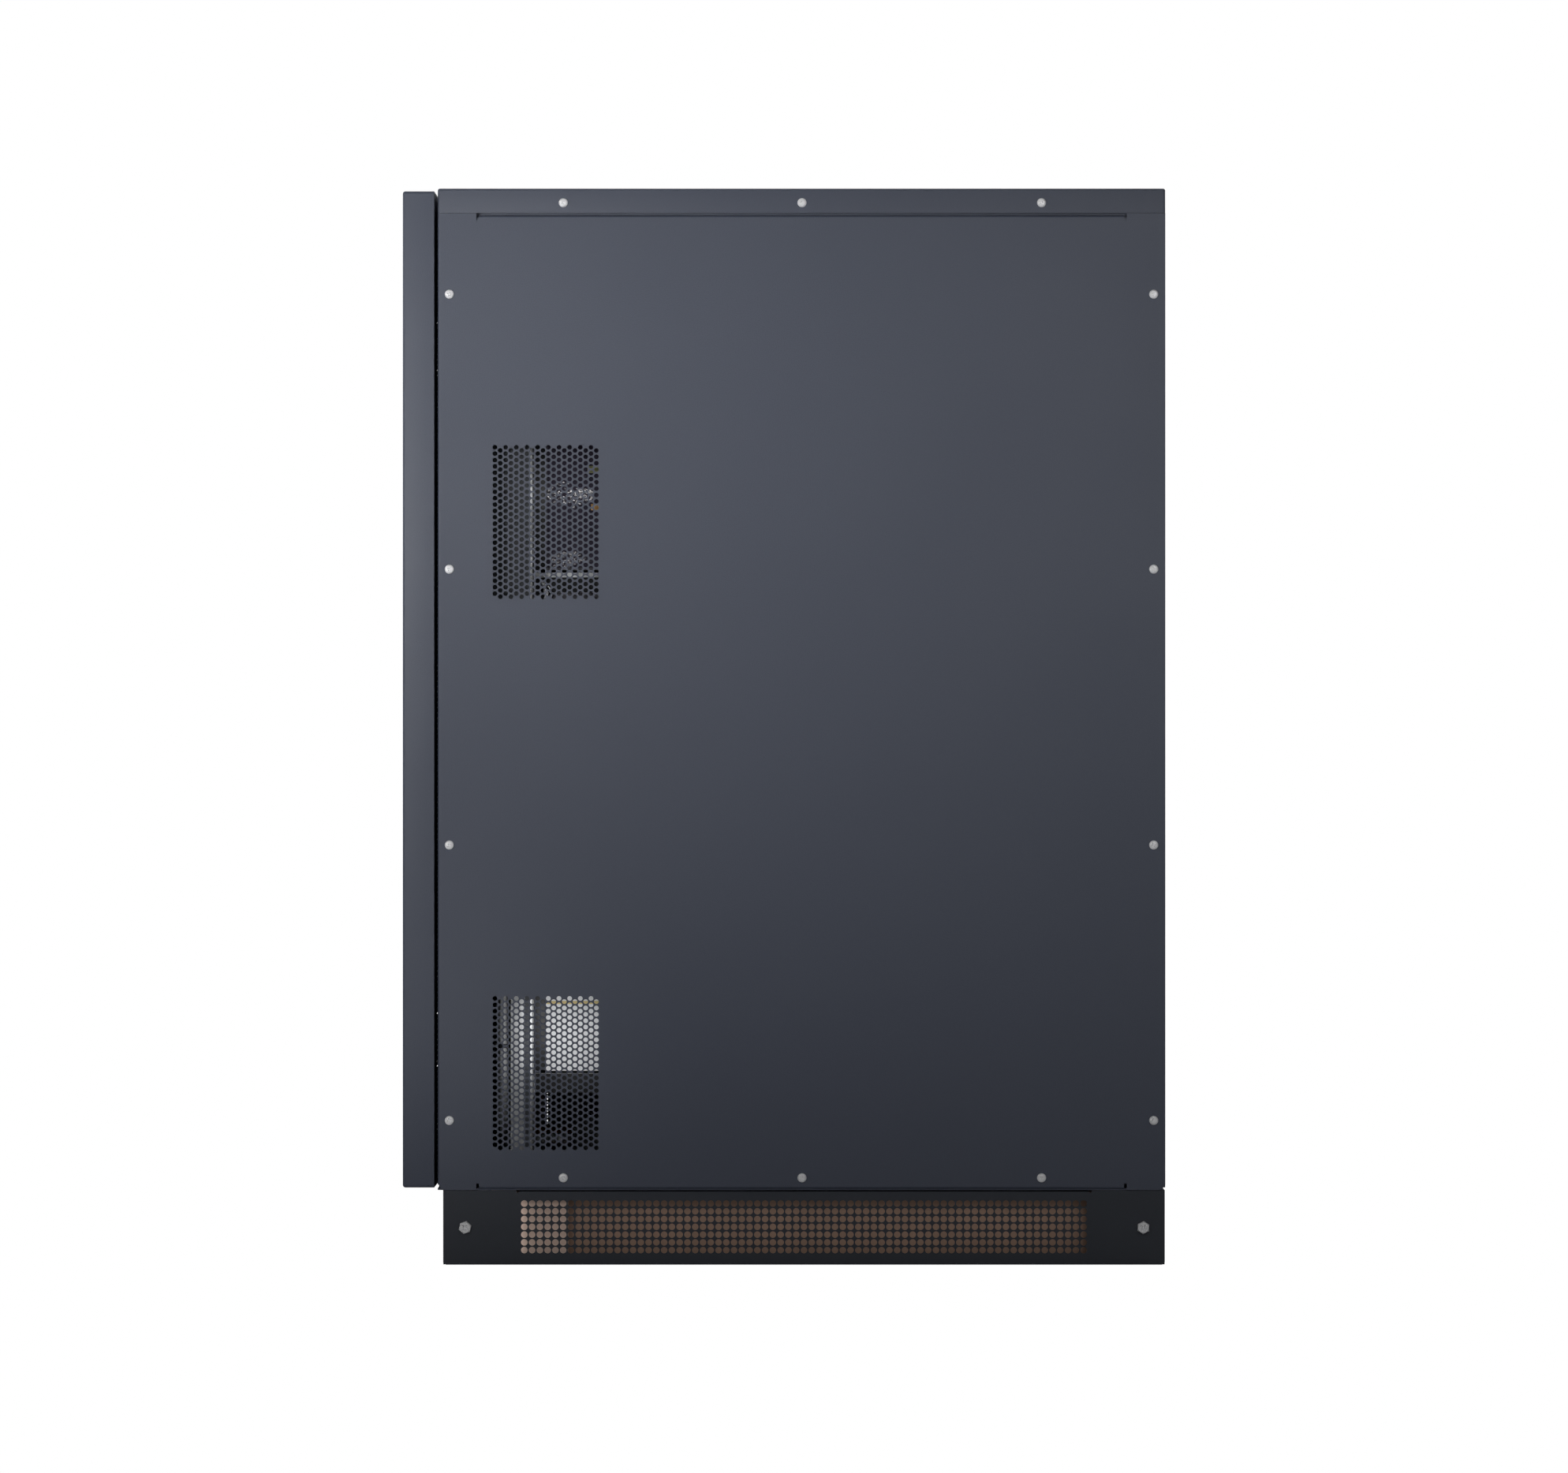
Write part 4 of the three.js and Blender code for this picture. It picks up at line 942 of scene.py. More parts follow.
# ---- Shapes shared by the inner pieces ----
def rounded(u, v, radius, steps=4):
    """A rectangle with rounded corners, counter-clockwise from its low corner."""
    (u0, u1), (v0, v1) = u, v
    corners = [(u1 - radius, v0 + radius, -90), (u1 - radius, v1 - radius, 0)]
    corners += [(u0 + radius, v1 - radius, 90), (u0 + radius, v0 + radius, 180)]
    return [point for x, y, start in corners for point in arc((x, y), radius, start, start + 90, steps)]


def circle(centre, radius, sides=24):
    return arc(centre, radius, 0.0, 360.0 - 360.0 / sides, sides - 1)


def curve_through(points, per_span=8):
    """A smooth curve through the points, even where their spacing changes."""
    points = [Vector(p) for p in points]
    ends = [2 * points[0] - points[1], *points, 2 * points[-1] - points[-2]]
    route = [points[0]]

    def between(p, q, t0, t1, t):
        return p.lerp(q, (t - t0) / (t1 - t0))

    for a, b, c, d in zip(ends, ends[1:], ends[2:], ends[3:]):
        times = [0.0]
        for p, q in ((a, b), (b, c), (c, d)):
            times.append(times[-1] + math.sqrt((q - p).length))
        for i in range(1, per_span + 1):
            t = times[1] + (times[2] - times[1]) * i / per_span
            first = [between(p, q, t0, t1, t) for p, q, t0, t1 in zip((a, b, c), (b, c, d), times, times[1:])]
            second = [between(first[k], first[k + 1], times[k], times[k + 2], t) for k in (0, 1)]
            route.append(between(second[0], second[1], times[1], times[2], t))
    return route


def add_frame(bm, x, y, z, bar):
    """A rectangular frame of four rounded bars round an opening along Y."""
    for bars in (((x[0], x[1]), (z[0], z[0] + bar)), ((x[0], x[1]), (z[1] - bar, z[1]))):
        add_block(bm, bars[0], y, bars[1], 0.4)
    for bars in ((x[0], x[0] + bar), (x[1] - bar, x[1])):
        add_block(bm, bars, y, (z[0] + bar, z[1] - bar), 0.4)


# ---- Frame and rack ----
RAIL_HOLE = 9.5
RACK_UNIT = 44.45
HOLE_STEPS = (6.35, 22.225, 38.1)  # square holes within one rack unit
RACK_HOLE_SPAN = 465.1  # between the two columns of square holes
EAR_SCREW = 232.5  # of the rack's screws from the middle


def frame_parts():
    # The corner posts wear the darkened slate: painted shade.
    for side in ("left", "right"):
        for end in ("front", "rear"):
            soften(f"corner_post_{end}_{side}", SHADED_FRAME_COAT, 0.8, 3)
    for node in ("base_frame", "top_frame"):
        soften(node, SLATE, 0.5)
    soften("gland_plate", ZINC, 0.3)
    for index in range(1, 5):
        soften(f"shelf_{index}", ZINC, 0.35)


def rack_rail(node):
    """A rail of folded sheet with the square holes of a 19-inch rack."""
    low, high = box_of(node)
    side = 1 if low.x > 0 else -1
    front = "front" in node
    face_y = low.y + 27.0 if front else high.y - 32.0
    inner, outer = (low.x, high.x) if side > 0 else (high.x, low.x)
    plate = Plate(lambda u, v, w: Vector((u, face_y - SHEET + w, v)))
    hole_x, half = side * RACK_HOLE_SPAN / 2, RAIL_HOLE / 2
    holes = []
    unit = 0
    while low.z + 12 + (unit + 1) * RACK_UNIT < high.z:
        for step in HOLE_STEPS:
            z = low.z + 8 + unit * RACK_UNIT + step
            holes.append(rounded((hole_x - half, hole_x + half), (z - half, z + half), 0.6, 1))
        unit += 1
    left, right = sorted((inner, outer - side * BEND))
    plate.fill([(left, low.z), (right, low.z), (right, high.z), (left, high.z)], (), holes)
    fold = 25.0 if front else 30.0
    corner = (outer, face_y if front else face_y - SHEET)
    reach = (0, -1) if front else (0, 1)
    upright = within(Matrix.Identity(4))
    add_bent_strip(plate.bm, corner, reach, (-side, 0), fold, BEND, upright, low.z, high.z)
    make(f"{node}_punched", plate.bm, "cabinet", "zinc", ZINC, replaces=[node])


def rack():
    for side in ("left", "right"):
        for end in ("front", "rear"):
            rack_rail(f"rack_rail_{end}_{side}")
    screws = bmesh.new()
    rng = Random(21)
    for index in range(1, 5):
        low, high = box_of(f"shelf_{index}")
        for x in (-EAR_SCREW, EAR_SCREW):
            for y, outward in ((low.y, -1), (high.y, 1)):
                place = (x, y, high.z - 4.5)
                add_hex_bolt(screws, place, (0, outward, 0), 7.0, 2.6, rng.uniform(0, 60))
    make("shelf_screws", screws, "cabinet", "steel", PLATED)


# ---- Rack units ----
EAR_PLATE = 3.0
BEZEL = 15.0
SOCKETS = {"negative": 110.0, "positive": 150.0}
MODULE_SOCKET = 128.5  # above the lower edge of a module's front plate
CONTROL_SOCKET = 38.5  # the same on the control unit
MOULDING_HALF = 219.0  # half the width of the moulding behind a front plate
LAMP_DOME = [(0, 0), (2.4, 0), (2.2, 0.8), (1.4, 1.5), (0, 1.8)]


def unit_plate(node, slots, cutouts=()):
    """A front plate with rack ears, its screws and its handles."""
    low, high = box_of(node)
    back = high.y - BEZEL
    front = back - EAR_PLATE
    plate = Plate(lambda u, v, w: Vector((u, back - w, v)), EAR_PLATE)
    places = [(x, z) for x in (-EAR_SCREW, EAR_SCREW) for z in (low.z + 16.0, high.z - 16.0)]
    ears = [rounded((x - 5.2, x + 5.2), (z - 3.4, z + 3.4), 3.39, 4) for x, z in places]
    outline = rounded((low.x, high.x), (low.z, high.z), 2.0, 3)
    plate.fill(outline, (), [*ears, *slots, *cutouts])
    name = node.replace("battery_", "")
    make(f"{name}_plate", plate.bm, "cabinet", "front_panel", BLACK_COAT, replaces=[node])

    screws = bmesh.new()
    rng = Random(int(low.z))
    washer = [(0, 0), (7.0, 0), (7.0, 0.8), (6.2, 1.2), (0, 1.2)]
    for x, z in places:
        add_turned(screws, washer, facing((0, -1, 0), (x, front, z)), 24)
        add_pan_screw(screws, (x, front - 1.2, z), (0, -1, 0), 4.6, 3.0, rng.uniform(0, 90))
    make(f"{name}_screws", screws, "cabinet", "steel", PLATED)

    handles = bmesh.new()
    middle = (low.z + high.z) / 2
    lower, upper = middle - 36.0, middle + 36.0
    reach = low.y + 4.0
    for x in (-205.0, 205.0):
        path = [(front + 1.0, lower), (front - 10.0, lower), (reach + 10.0, lower)]
        path += arc((reach + 9.0, lower + 9.0), 9.0, 270.0, 180.0, 6)
        path += arc((reach + 9.0, upper - 9.0), 9.0, 180.0, 90.0, 6)
        path += [(reach + 10.0, upper), (front - 10.0, upper), (front + 1.0, upper)]
        add_tube(handles, [Vector((x, y, z)) for y, z in path], 3.9, 16)
        for z in (lower, upper):
            foot = facing((0, -1, 0), (x, front, z))
            add_turned(handles, [(0, 0), (6.5, 0), (6.5, 1.6), (5.6, 2.6), (0, 2.6)], foot, 24)
    make(f"{name}_handles", handles, "cabinet", "steel", STEEL, 40.0)
    return low, high, front


def slots_group(x0, count, pitch, z):
    return [rounded((x0 + i * pitch, x0 + i * pitch + 3.2), z, 1.59, 3) for i in range(count)]


def socket_ring(bm, x, z, front):
    add_frame(bm, (x - 12.5, x + 12.5), (front - 1.6, front), (z - 12.5, z + 12.5), 2.4)
    for dx, dz in ((-11.3, -11.3), (11.3, 11.3)):
        place = facing((0, -1, 0), (x + dx, front - 1.5, z + dz))
        add_turned(bm, [(0, 0), (1.7, 0), (1.7, 0.6), (1.2, 1.0), (0, 1.0)], place, 12)


def battery_module(index):
    node = f"battery_module_{index}_front"
    low, high = box_of(node)
    lower, upper = (low.z + 22.0, low.z + 62.0), (high.z - 66.0, high.z - 26.0)
    slots = []
    for start, heights in ((-178.0, lower), (-178.0, upper), (-46.0, lower)):
        slots += slots_group(start, 14, 7.4, heights)
    low, high, front = unit_plate(node, slots)
    label = f"module_{index}"

    bezel = bmesh.new()
    moulding = (high.y - BEZEL + 0.1, high.y)
    add_block(bezel, (-MOULDING_HALF, MOULDING_HALF), moulding, (low.z + 2, high.z - 6), 0.6)
    make(f"{label}_moulding", bezel, "cabinet", "black_plastic", BLACK)

    ring = bmesh.new()
    for x in SOCKETS.values():
        socket_ring(ring, x, low.z + MODULE_SOCKET, front)
    ports = [84.0 + i * 19.0 for i in range(4)]
    ports_z = low.z + 40.0
    for x in ports:
        add_frame(ring, (x, x + 15.0), (front - 1.4, front), (ports_z, ports_z + 13.0), 1.5)
    add_block(ring, (-44.0, 66.0), (front - 0.9, front), (low.z + 104.0, low.z + 150.0), 0.4)
    make(f"{label}_port_frames", ring, "cabinet", "black_plastic", BLACK)

    metal = bmesh.new()
    shield_z, pin_z = (ports_z + 1.6, ports_z + 11.4), (ports_z + 7.5, ports_z + 11.0)
    for x in ports:
        add_block(metal, (x + 1.6, x + 13.4), (front - 0.5, front + 0.4), shield_z, 0.1)
        for pin in range(8):
            px = x + 3.6 + pin * 1.1
            add_block(metal, (px, px + 0.5), (front - 0.9, front - 0.4), pin_z, 0.05)
    panel, lamp_z = front - 0.9, low.z + 127.0
    button = facing((0, -1, 0), (50.0, panel, lamp_z))
    add_turned(metal, [(6.2, 0), (9.0, 0), (9.0, 1.4), (8.2, 2.2), (6.8, 2.2), (6.2, 1.4)], button, 32)
    make(f"{label}_contacts", metal, "cabinet", "steel", STEEL)

    lamps = bmesh.new()
    for i in range(5):
        add_turned(lamps, LAMP_DOME, facing((0, -1, 0), (-34.0 + i * 13.0, panel, lamp_z)), 16)
    add_turned(lamps, [(0, 0), (6.0, 0), (6.0, 1.0), (5.2, 1.6), (0, 1.7)], button, 28)
    make(f"{label}_lamps", lamps, "cabinet", "green_cap", LED_GREEN)

    soften(f"battery_module_{index}_case", WHITE if index == 1 else DARK_CASE, 0.8)
    soften(f"battery_module_{index}_cells", CELL_BLUE, 1.5)


def control_unit():
    node = "control_unit_front"
    low, high = box_of(node)
    breaker_low, breaker_high = box_of("main_breaker")
    button_low, button_high = box_of("start_button")
    middle = ((button_low.x + button_high.x) / 2, (button_low.z + button_high.z) / 2)
    radius = (button_high.x - button_low.x) / 2
    nose = (breaker_low.x, breaker_high.x)
    nose_z = (low.z + 48.5, low.z + 92.5)
    cutouts = [rounded((nose[0] - 0.4, nose[1] + 0.4), (nose_z[0] - 0.4, nose_z[1] + 0.4), 0.8, 2)]
    cutouts.append(circle(middle, radius + 0.4))
    slots = slots_group(96.0, 12, 7.4, (high.z - 40.0, high.z - 18.0))
    low, high, front = unit_plate(node, slots, cutouts)

    moulding = bmesh.new()
    y = (high.y - BEZEL + 0.1, high.y)
    whole, opening = (low.z + 2, high.z - 6), (nose[0] - 1, button_high.x + 2)
    add_block(moulding, (-MOULDING_HALF, opening[0]), y, whole, 0.5)
    add_block(moulding, (opening[1], MOULDING_HALF), y, whole, 0.5)
    add_block(moulding, opening, y, (whole[0], nose_z[0] - 1), 0.5)
    add_block(moulding, opening, y, (nose_z[1] + 5, whole[1]), 0.5)
    make("control_moulding", moulding, "cabinet", "black_plastic", BLACK)

    bezels = bmesh.new()
    screen = ((-178.0, -88.0), (low.z + 44.0, low.z + 104.0))
    add_frame(bezels, screen[0], (front - 2.2, front), screen[1], 5.0)
    for x in (-145.0, 110.0, 145.0, 180.0):
        socket_ring(bezels, x, low.z + CONTROL_SOCKET, front)
    add_frame(bezels, (nose[0] - 4, nose[1] + 4), (front - 1.4, front), (nose_z[0] - 4, nose_z[1] + 4), 3.4)
    ring = [(radius + 0.5, 0), (radius + 4, 0), (radius + 4, 1.2), (radius + 3, 2.4), (radius + 1, 2.4)]
    place = facing((0, -1, 0), (middle[0], front, middle[1]))
    add_turned(bezels, [*ring, (radius + 0.5, 1.8)], place, 40)
    make("control_bezels", bezels, "cabinet", "black_plastic", BLACK)

    glass = bmesh.new()
    (x0, x1), (z0, z1) = screen
    add_block(glass, (x0 + 4.6, x1 - 4.6), (front - 1.0, front), (z0 + 4.6, z1 - 4.6), 0.3)
    make("control_display", glass, "cabinet", "black_plastic", GLASS)

    lamps = bmesh.new()
    for i in range(3):
        add_turned(lamps, LAMP_DOME, facing((0, -1, 0), (-149.0 + i * 16.0, front, low.z + 114.0)), 16)
    make("control_lamps", lamps, "cabinet", "green_cap", LED_GREEN)

    soften("main_breaker", BLACK, 1.0, 3)
    soften("breaker_toggle", BLACK, 0.9, 3)
    soften("start_button", GREEN, 0.8, 3)
    soften("control_unit_case", WHITE, 0.8)


# ---- Wiring ----
PLUG_HALF = 10.0
PLUG_Y = -298.3
COLUMN_X = 249.0


def add_plug(bm, x, z, upward, radius):
    """An angled battery plug with its cable boot; upward is 1 where the cable leaves at the top."""
    half, nose = PLUG_HALF, PLUG_HALF / 2
    add_block(bm, (x - half, x + half), (PLUG_Y - half, -286.6), (z - half, z + half), 2.2, 3)
    add_block(bm, (x - nose, x + nose), (PLUG_Y - half, PLUG_Y - 8), (z - nose, z + nose), 0.6)
    boot = facing((0, 0, upward), (x, PLUG_Y, z + upward * 9.5))
    profile = [(0.0, 0.0), (radius + 3.2, 0.0)]
    for i in range(5):
        shrink = i * 0.4
        base = 2.5 + i * 3.6
        profile += [(radius + 3.0 - shrink, base), (radius + 3.0 - shrink, base + 2.2)]
        profile += [(radius + 1.9 - shrink, base + 2.5), (radius + 1.9 - shrink, base + 3.4)]
    profile += [(radius + 0.8, 21.5), (radius * 0.9, 22.0), (0.0, 22.0)]
    add_turned(bm, profile, boot, 28)


def cable(name, points, radius, slot, material, plugs):
    bm = bmesh.new()
    add_tube(bm, curve_through(points), radius, 16)
    for x, z, upward in plugs:
        add_plug(bm, x, z, upward, radius)
    make(f"{name}_run", bm, "cabinet", slot, material, 40.0, replaces=[name])


def wiring():
    sockets = [box_of(f"battery_module_{i}_front")[0].z + MODULE_SOCKET for i in range(1, 5)]
    control = box_of("control_unit_front")[0].z + CONTROL_SOCKET
    negative, positive = SOCKETS["negative"], SOCKETS["positive"]
    radius = 4.5
    for i in range(3):
        top, bottom = sockets[i + 1] - 9.0, sockets[i] + 9.0
        middle = ((negative + positive) / 2, PLUG_Y - 4, (top + bottom) / 2)
        route = [(negative, PLUG_Y, top), (negative, PLUG_Y, top - 30), middle]
        route += [(positive, PLUG_Y, bottom + 30), (positive, PLUG_Y, bottom)]
        plugs = [(negative, sockets[i + 1], -1), (positive, sockets[i], 1)]
        cable(f"link_cable_{i + 1}", route, radius, "orange_sheath", ORANGE, plugs)

    bottom, top = sockets[3] + 9.0, control - 9.0
    route = [(positive, PLUG_Y, bottom), (positive, PLUG_Y, bottom + 16)]
    route += [((positive + 110) / 2, PLUG_Y, (bottom + top) / 2), (110, PLUG_Y, top - 16), (110, PLUG_Y, top)]
    plugs = [(positive, sockets[3], 1), (110.0, control, -1)]
    cable("string_cable_positive", route, radius, "orange_sheath", ORANGE, plugs)

    start = sockets[0] - 9.0
    low = box_of("shelf_1")[1].z + 24
    x, y = COLUMN_X, PLUG_Y + 1
    route = [(negative, PLUG_Y, start), (negative, PLUG_Y, start - 55), (negative + 20, PLUG_Y, low + 12)]
    route += [(negative + 50, PLUG_Y, low), (x - 35, y, low), (x - 9, y, low + 14), (x, y, low + 50)]
    route += [(x, y, low + 110), (x, y, 600), (x, y, top - 120), (x, y, top - 60), (x - 8, y, top - 32)]
    route += [(x - 35, y, top - 24), (188, PLUG_Y, top - 20), (180, PLUG_Y, top - 6), (180, PLUG_Y, top)]
    plugs = [(negative, sockets[0], -1), (180.0, control, -1)]
    cable("string_cable_negative", route, radius, "black_sheath", CABLE_BLACK, plugs)

    socket = 145.0
    x, y = 248.0, -314.7  # the upright run of an output cable
    entry_x, entry_y, entry_z = 80.0, box_of("terminal_block")[0].y, 130.0
    run = [(socket, PLUG_Y, top), (socket, PLUG_Y - 2, top - 14), (socket + 25, y, top - 34)]
    run += [(x - 45, y, top - 44), (x - 12, y, top - 60), (x, y, top - 105), (x, y, top - 200), (x, y, 600)]
    run += [(x, y, 270), (x, y, 190), (x - 14, y, 148), (x - 60, -308, entry_z)]
    run += [(entry_x + 30, -288, entry_z), (entry_x, -262, entry_z), (entry_x, entry_y - 0.3, entry_z)]
    ties = bmesh.new()
    for side, name, slot, material in (
        (1, "output_cable_negative", "grey_sheath", GREY),
        (-1, "output_cable_positive", "orange_sheath", ORANGE),
    ):
        route = [(side * u, v, w) for u, v, w in run]
        cable(name, route, 5.7, slot, material, [(side * socket, control, -1)])
        for z in (240.0, 420.0, 560.0, 700.0, 820.0):
            place = facing((0, 0, 1), (side * x, y, z))
            add_turned(ties, [(5.8, 0), (7.0, 0), (7.0, 4.6), (5.8, 4.6)], place, 24)
            add_block(ties, beside(side, x - 4, x + 2), (y - 10.5, y - 6), (z - 0.5, z + 5.2), 0.6)
    make("cable_ties", ties, "cabinet", "black_plastic", BLACK)


def base_terminals():
    soften("terminal_block", BLACK, 0.8)
    soften("earth_bar", COPPER, 0.6)
    low, high = box_of("terminal_block")
    studs = bmesh.new()
    for x in (-78.5, -27.0, 27.0, 78.5):
        add_nut(studs, (x, (low.y + high.y) / 2, 144.0), (0, 0, 1), 13.0, 7.0)
    low, high = box_of("earth_bar")
    rng = Random(31)
    for i in range(10):
        centre = (-90.0 + 20.0 * i, (low.y + high.y) / 2, high.z)
        add_hex_bolt(studs, centre, (0, 0, 1), 8.0, 3.5, rng.uniform(0, 60))
    make("terminal_studs", studs, "cabinet", "steel", PLATED)
    glands = bmesh.new()
    low, high = box_of("gland_plate")
    for x in (-120.0, -60.0, 0.0, 60.0, 120.0):
        above = facing((0, 0, 1), (x, -325.0, high.z))
        below = facing((0, 0, -1), (x, -325.0, low.z))
        for place, height in ((above, 5.5), (below, 5.0)):
            add_prism(glands, hexagon(17.0), within(place), 0.05, height)
        dome = [(0, 5), (14.5, 5), (14.5, 9), (13.0, 14), (10.5, 17.5), (6.8, 18.5), (6.8, 15), (0, 15)]
        add_turned(glands, dome, above, 32)
        add_turned(glands, [(0, 0), (11.9, 0), (11.9, 13.0), (0, 13.0)], below, 32)
    make("cable_glands", glands, "cabinet", "black_plastic", BLACK)


# ---- Rear ----
FAN_BORE = 57.0  # radius of the opening in the fan's frame
GUARD_WIRE = 0.95  # radius of the guard's wires


def rear_panel():
    low, high = box_of("rear_panel")
    fan_low, fan_high = box_of("fan_frame")
    centre = ((fan_low.x + fan_high.x) / 2, (fan_low.z + fan_high.z) / 2)
    plate = Plate(lambda u, v, w: Vector((u, high.y - SHEET + w, v)))
    columns = 44
    corner = (-columns * VENT["pitch"][0] / 2, 150.0)
    field = plate.punched(corner, columns, 14, VENT["pitch"], VENT["radius"], True)
    places = [(x, z) for x in (-285.0, 285.0) for z in (110.0, 370.0, 630.0, 890.0, 1146.0)]
    places += [(x, z) for x in (-95.0, 95.0) for z in (101.0, 1155.0)]
    holes = [circle(centre, 56.0, 64), *[circle(at, 4.9, 24) for at in places]]
    plate.fill(rounded((low.x, high.x), (low.z, high.z), 3.0, 3), [field], holes)
    make("rear_skin", plate.bm, "cabinet", "slate_paint", SLATE, replaces=["rear_panel"])

    screws = bmesh.new()
    rng = Random(41)
    for x, z in places:
        add_pan_screw(screws, (x, high.y - 1.9, z), (0, 1, 0), 4.6, 1.8, rng.uniform(0, 90))
    make("rear_screws", screws, "cabinet", "steel", PLATED)

    guard = bmesh.new()
    y = high.y - 1.1
    for radius in (14.0, 22.5, 31.0, 39.5, 48.0):
        ring = [Vector((centre[0] + u, y, centre[1] + v)) for u, v in circle((0, 0), radius, 48)]
        add_closed_tube(guard, ring, GUARD_WIRE)
    for turn in (45.0, 135.0, 225.0, 315.0):
        way = Vector((math.cos(math.radians(turn)), 0.0, math.sin(math.radians(turn))))
        middle = Vector((centre[0], y - 1.6, centre[1]))
        add_tube(guard, [middle + way * 13.0, middle + way * 35.0, middle + way * 57.5], GUARD_WIRE, 10)
    make("fan_guard", guard, "cabinet", "steel", STEEL, 60.0)


def add_closed_tube(bm, ring, radius, sides=8):
    """A round wire bent into a closed ring that lies in a plane across Y."""
    middle = sum(ring, Vector()) / len(ring)
    rings = []
    for point in ring:
        outward = (point - middle).normalized()
        rings.append(section_ring(bm, point, outward, Vector((0, 1, 0)), radius, sides))
    bridge(bm, rings, True)


def fan():
    low, high = box_of("fan_frame")
    centre = ((low.x + high.x) / 2, (low.z + high.z) / 2)
    half, depth = (high.x - low.x) / 2, high.y - low.y

    def place(u, v, w):
        return Vector((centre[0] + u, low.y + w, centre[1] + v))

    housing = bmesh.new()
    corners = [(x, z) for x in (-52.5, 52.5) for z in (-52.5, 52.5)]
    for start in (0.0, depth - 4.0):
        plate = Plate(lambda u, v, w, start=start: place(u, v, start + w), 4.0)
        holes = [circle((0, 0), FAN_BORE, 48), *[circle(c, 2.2, 12) for c in corners]]
        plate.fill(rounded((-half, half), (-half, half), 5.0, 4), (), holes)
        mesh = bpy.data.meshes.new("part")
        plate.bm.to_mesh(mesh)
        plate.bm.free()
        housing.from_mesh(mesh)
    body = facing((0, 1, 0), (centre[0], low.y, centre[1]))
    wall = [(FAN_BORE, 3.9), (58.8, 3.9), (58.8, depth - 3.9), (FAN_BORE, depth - 3.9)]
    add_turned(housing, wall, body, 48)
    motor = [(0, depth - 6), (22, depth - 6), (22, depth - 1.6), (21, depth - 1), (0, depth - 1)]
    add_turned(housing, motor, body, 40)
    for turn in (90.0, -30.0, 210.0):
        way = (math.cos(math.radians(turn)), math.sin(math.radians(turn)))
        across = (-way[1], way[0])
        section = []
        for r, s in ((20, -2), (58, -2), (58, 2), (20, 2)):
            section.append((way[0] * r + across[0] * s, way[1] * r + across[1] * s))
        add_prism(housing, section, place, depth - 5.0, depth - 1.0)
    make("fan_housing", housing, "cabinet", "black_plastic", BLACK, replaces=["fan_frame"])

    low, high = box_of("fan_rotor")
    depth = high.y - low.y
    wheel = bmesh.new()
    body = facing((0, 1, 0), (centre[0], low.y, centre[1]))
    hub = [(0, 0), (19.5, 0), (20.6, 0.5), (21.0, 1.6), (21.0, depth), (0, depth)]
    add_turned(wheel, hub, body, 40)
    blades = 7
    for i in range(blades):
        turn = Matrix.Rotation(2 * math.pi * i / blades, 4, "Z")
        grid = []
        for a in range(7):
            r = 20.0 + 32.5 * a / 6
            row = []
            for b in range(6):
                share = b / 5 - 0.5
                sweep = math.radians(40.0 - 10.0 * a / 6) * share + math.radians(4.0) * a / 6
                lift = depth / 2 - share * 19.0 + 3.0 * (share * share - 0.25)
                row.append((r * math.cos(sweep), r * math.sin(sweep), lift))
            grid.append(row)

        def face(offset, turn=turn, grid=grid):
            return [[body @ (turn @ Vector((x, y, z + offset))) for x, y, z in row] for row in grid]

        add_leaf(wheel, face(-0.8), face(0.8))
    make("fan_wheel", wheel, "rotor", "black_plastic", BLACK, replaces=["fan_rotor"])


# ---- Things seen through the vents ----
def vent_details():
    low, high = box_of("battery_module_4_case")
    rng = Random(51)
    columns, rows = 60, 24
    for side in (-1, 1):
        film = bmesh.new()
        waves = [(rng.uniform(0.02, 0.12), rng.uniform(0.03, 0.16), rng.uniform(0, 6)) for _ in range(9)]
        grid = []
        for a in range(columns + 1):
            row = []
            for b in range(rows + 1):
                y = low.y + 2 + (high.y - low.y - 8) * a / columns
                z = low.z + 3 + (high.z - low.z - 6) * b / rows
                lift = sum(math.sin(y * p + z * q + r) for p, q, r in waves) / 9
                row.append((side * (high.x + 1.7 + 1.2 * lift + rng.uniform(-0.45, 0.45)), y, z))
            grid.append(row)
        add_leaf(film, grid, [[(x + side * 0.15, y, z) for x, y, z in row] for row in grid])
        make(f"module_4_film_{'right' if side > 0 else 'left'}", film, "cabinet", "dark_case", FILM, 20.0)

    tape = bmesh.new()
    low, high = box_of("battery_module_1_case")
    for side in (-1, 1):
        x = beside(side, high.x + 0.05, high.x + 0.5)
        add_block(tape, x, (low.y + 1, high.y - 2), (low.z + 75.0, low.z + 78.5), 0.1)
    make("module_1_tape", tape, "cabinet", "orange_sheath", TAPE)

    low, high = box_of("battery_module_4_case")
    for name, material, y, z in (
        ("module_4_olive_tab", OLIVE, (-221.0, -204.0), (885.0, 893.5)),
        ("module_4_orange_tab", AMBER, (-217.0, -204.0), (843.5, 850.5)),
    ):
        tab = bmesh.new()
        add_block(tab, (high.x + 3.8, high.x + 4.2), y, z, 0.15)
        make(name, tab, "cabinet", "orange_sheath", material)
    scrap = bmesh.new()
    for strand in range(4):
        route = [Vector((rng.uniform(222.0, 226.0), -272.0 + 2.2 * strand, 764.0 - 2.0 * strand))]
        for _ in range(7):
            step = (rng.uniform(-1.0, 2.5), rng.uniform(-1.6, 2.4), rng.uniform(-4.0, -2.2))
            route.append(route[-1] + Vector(step))
        add_tube(scrap, route, 0.9, 6)
    make("film_tail", scrap, "cabinet", "dark_case", CLEAR_FILM, 20.0)


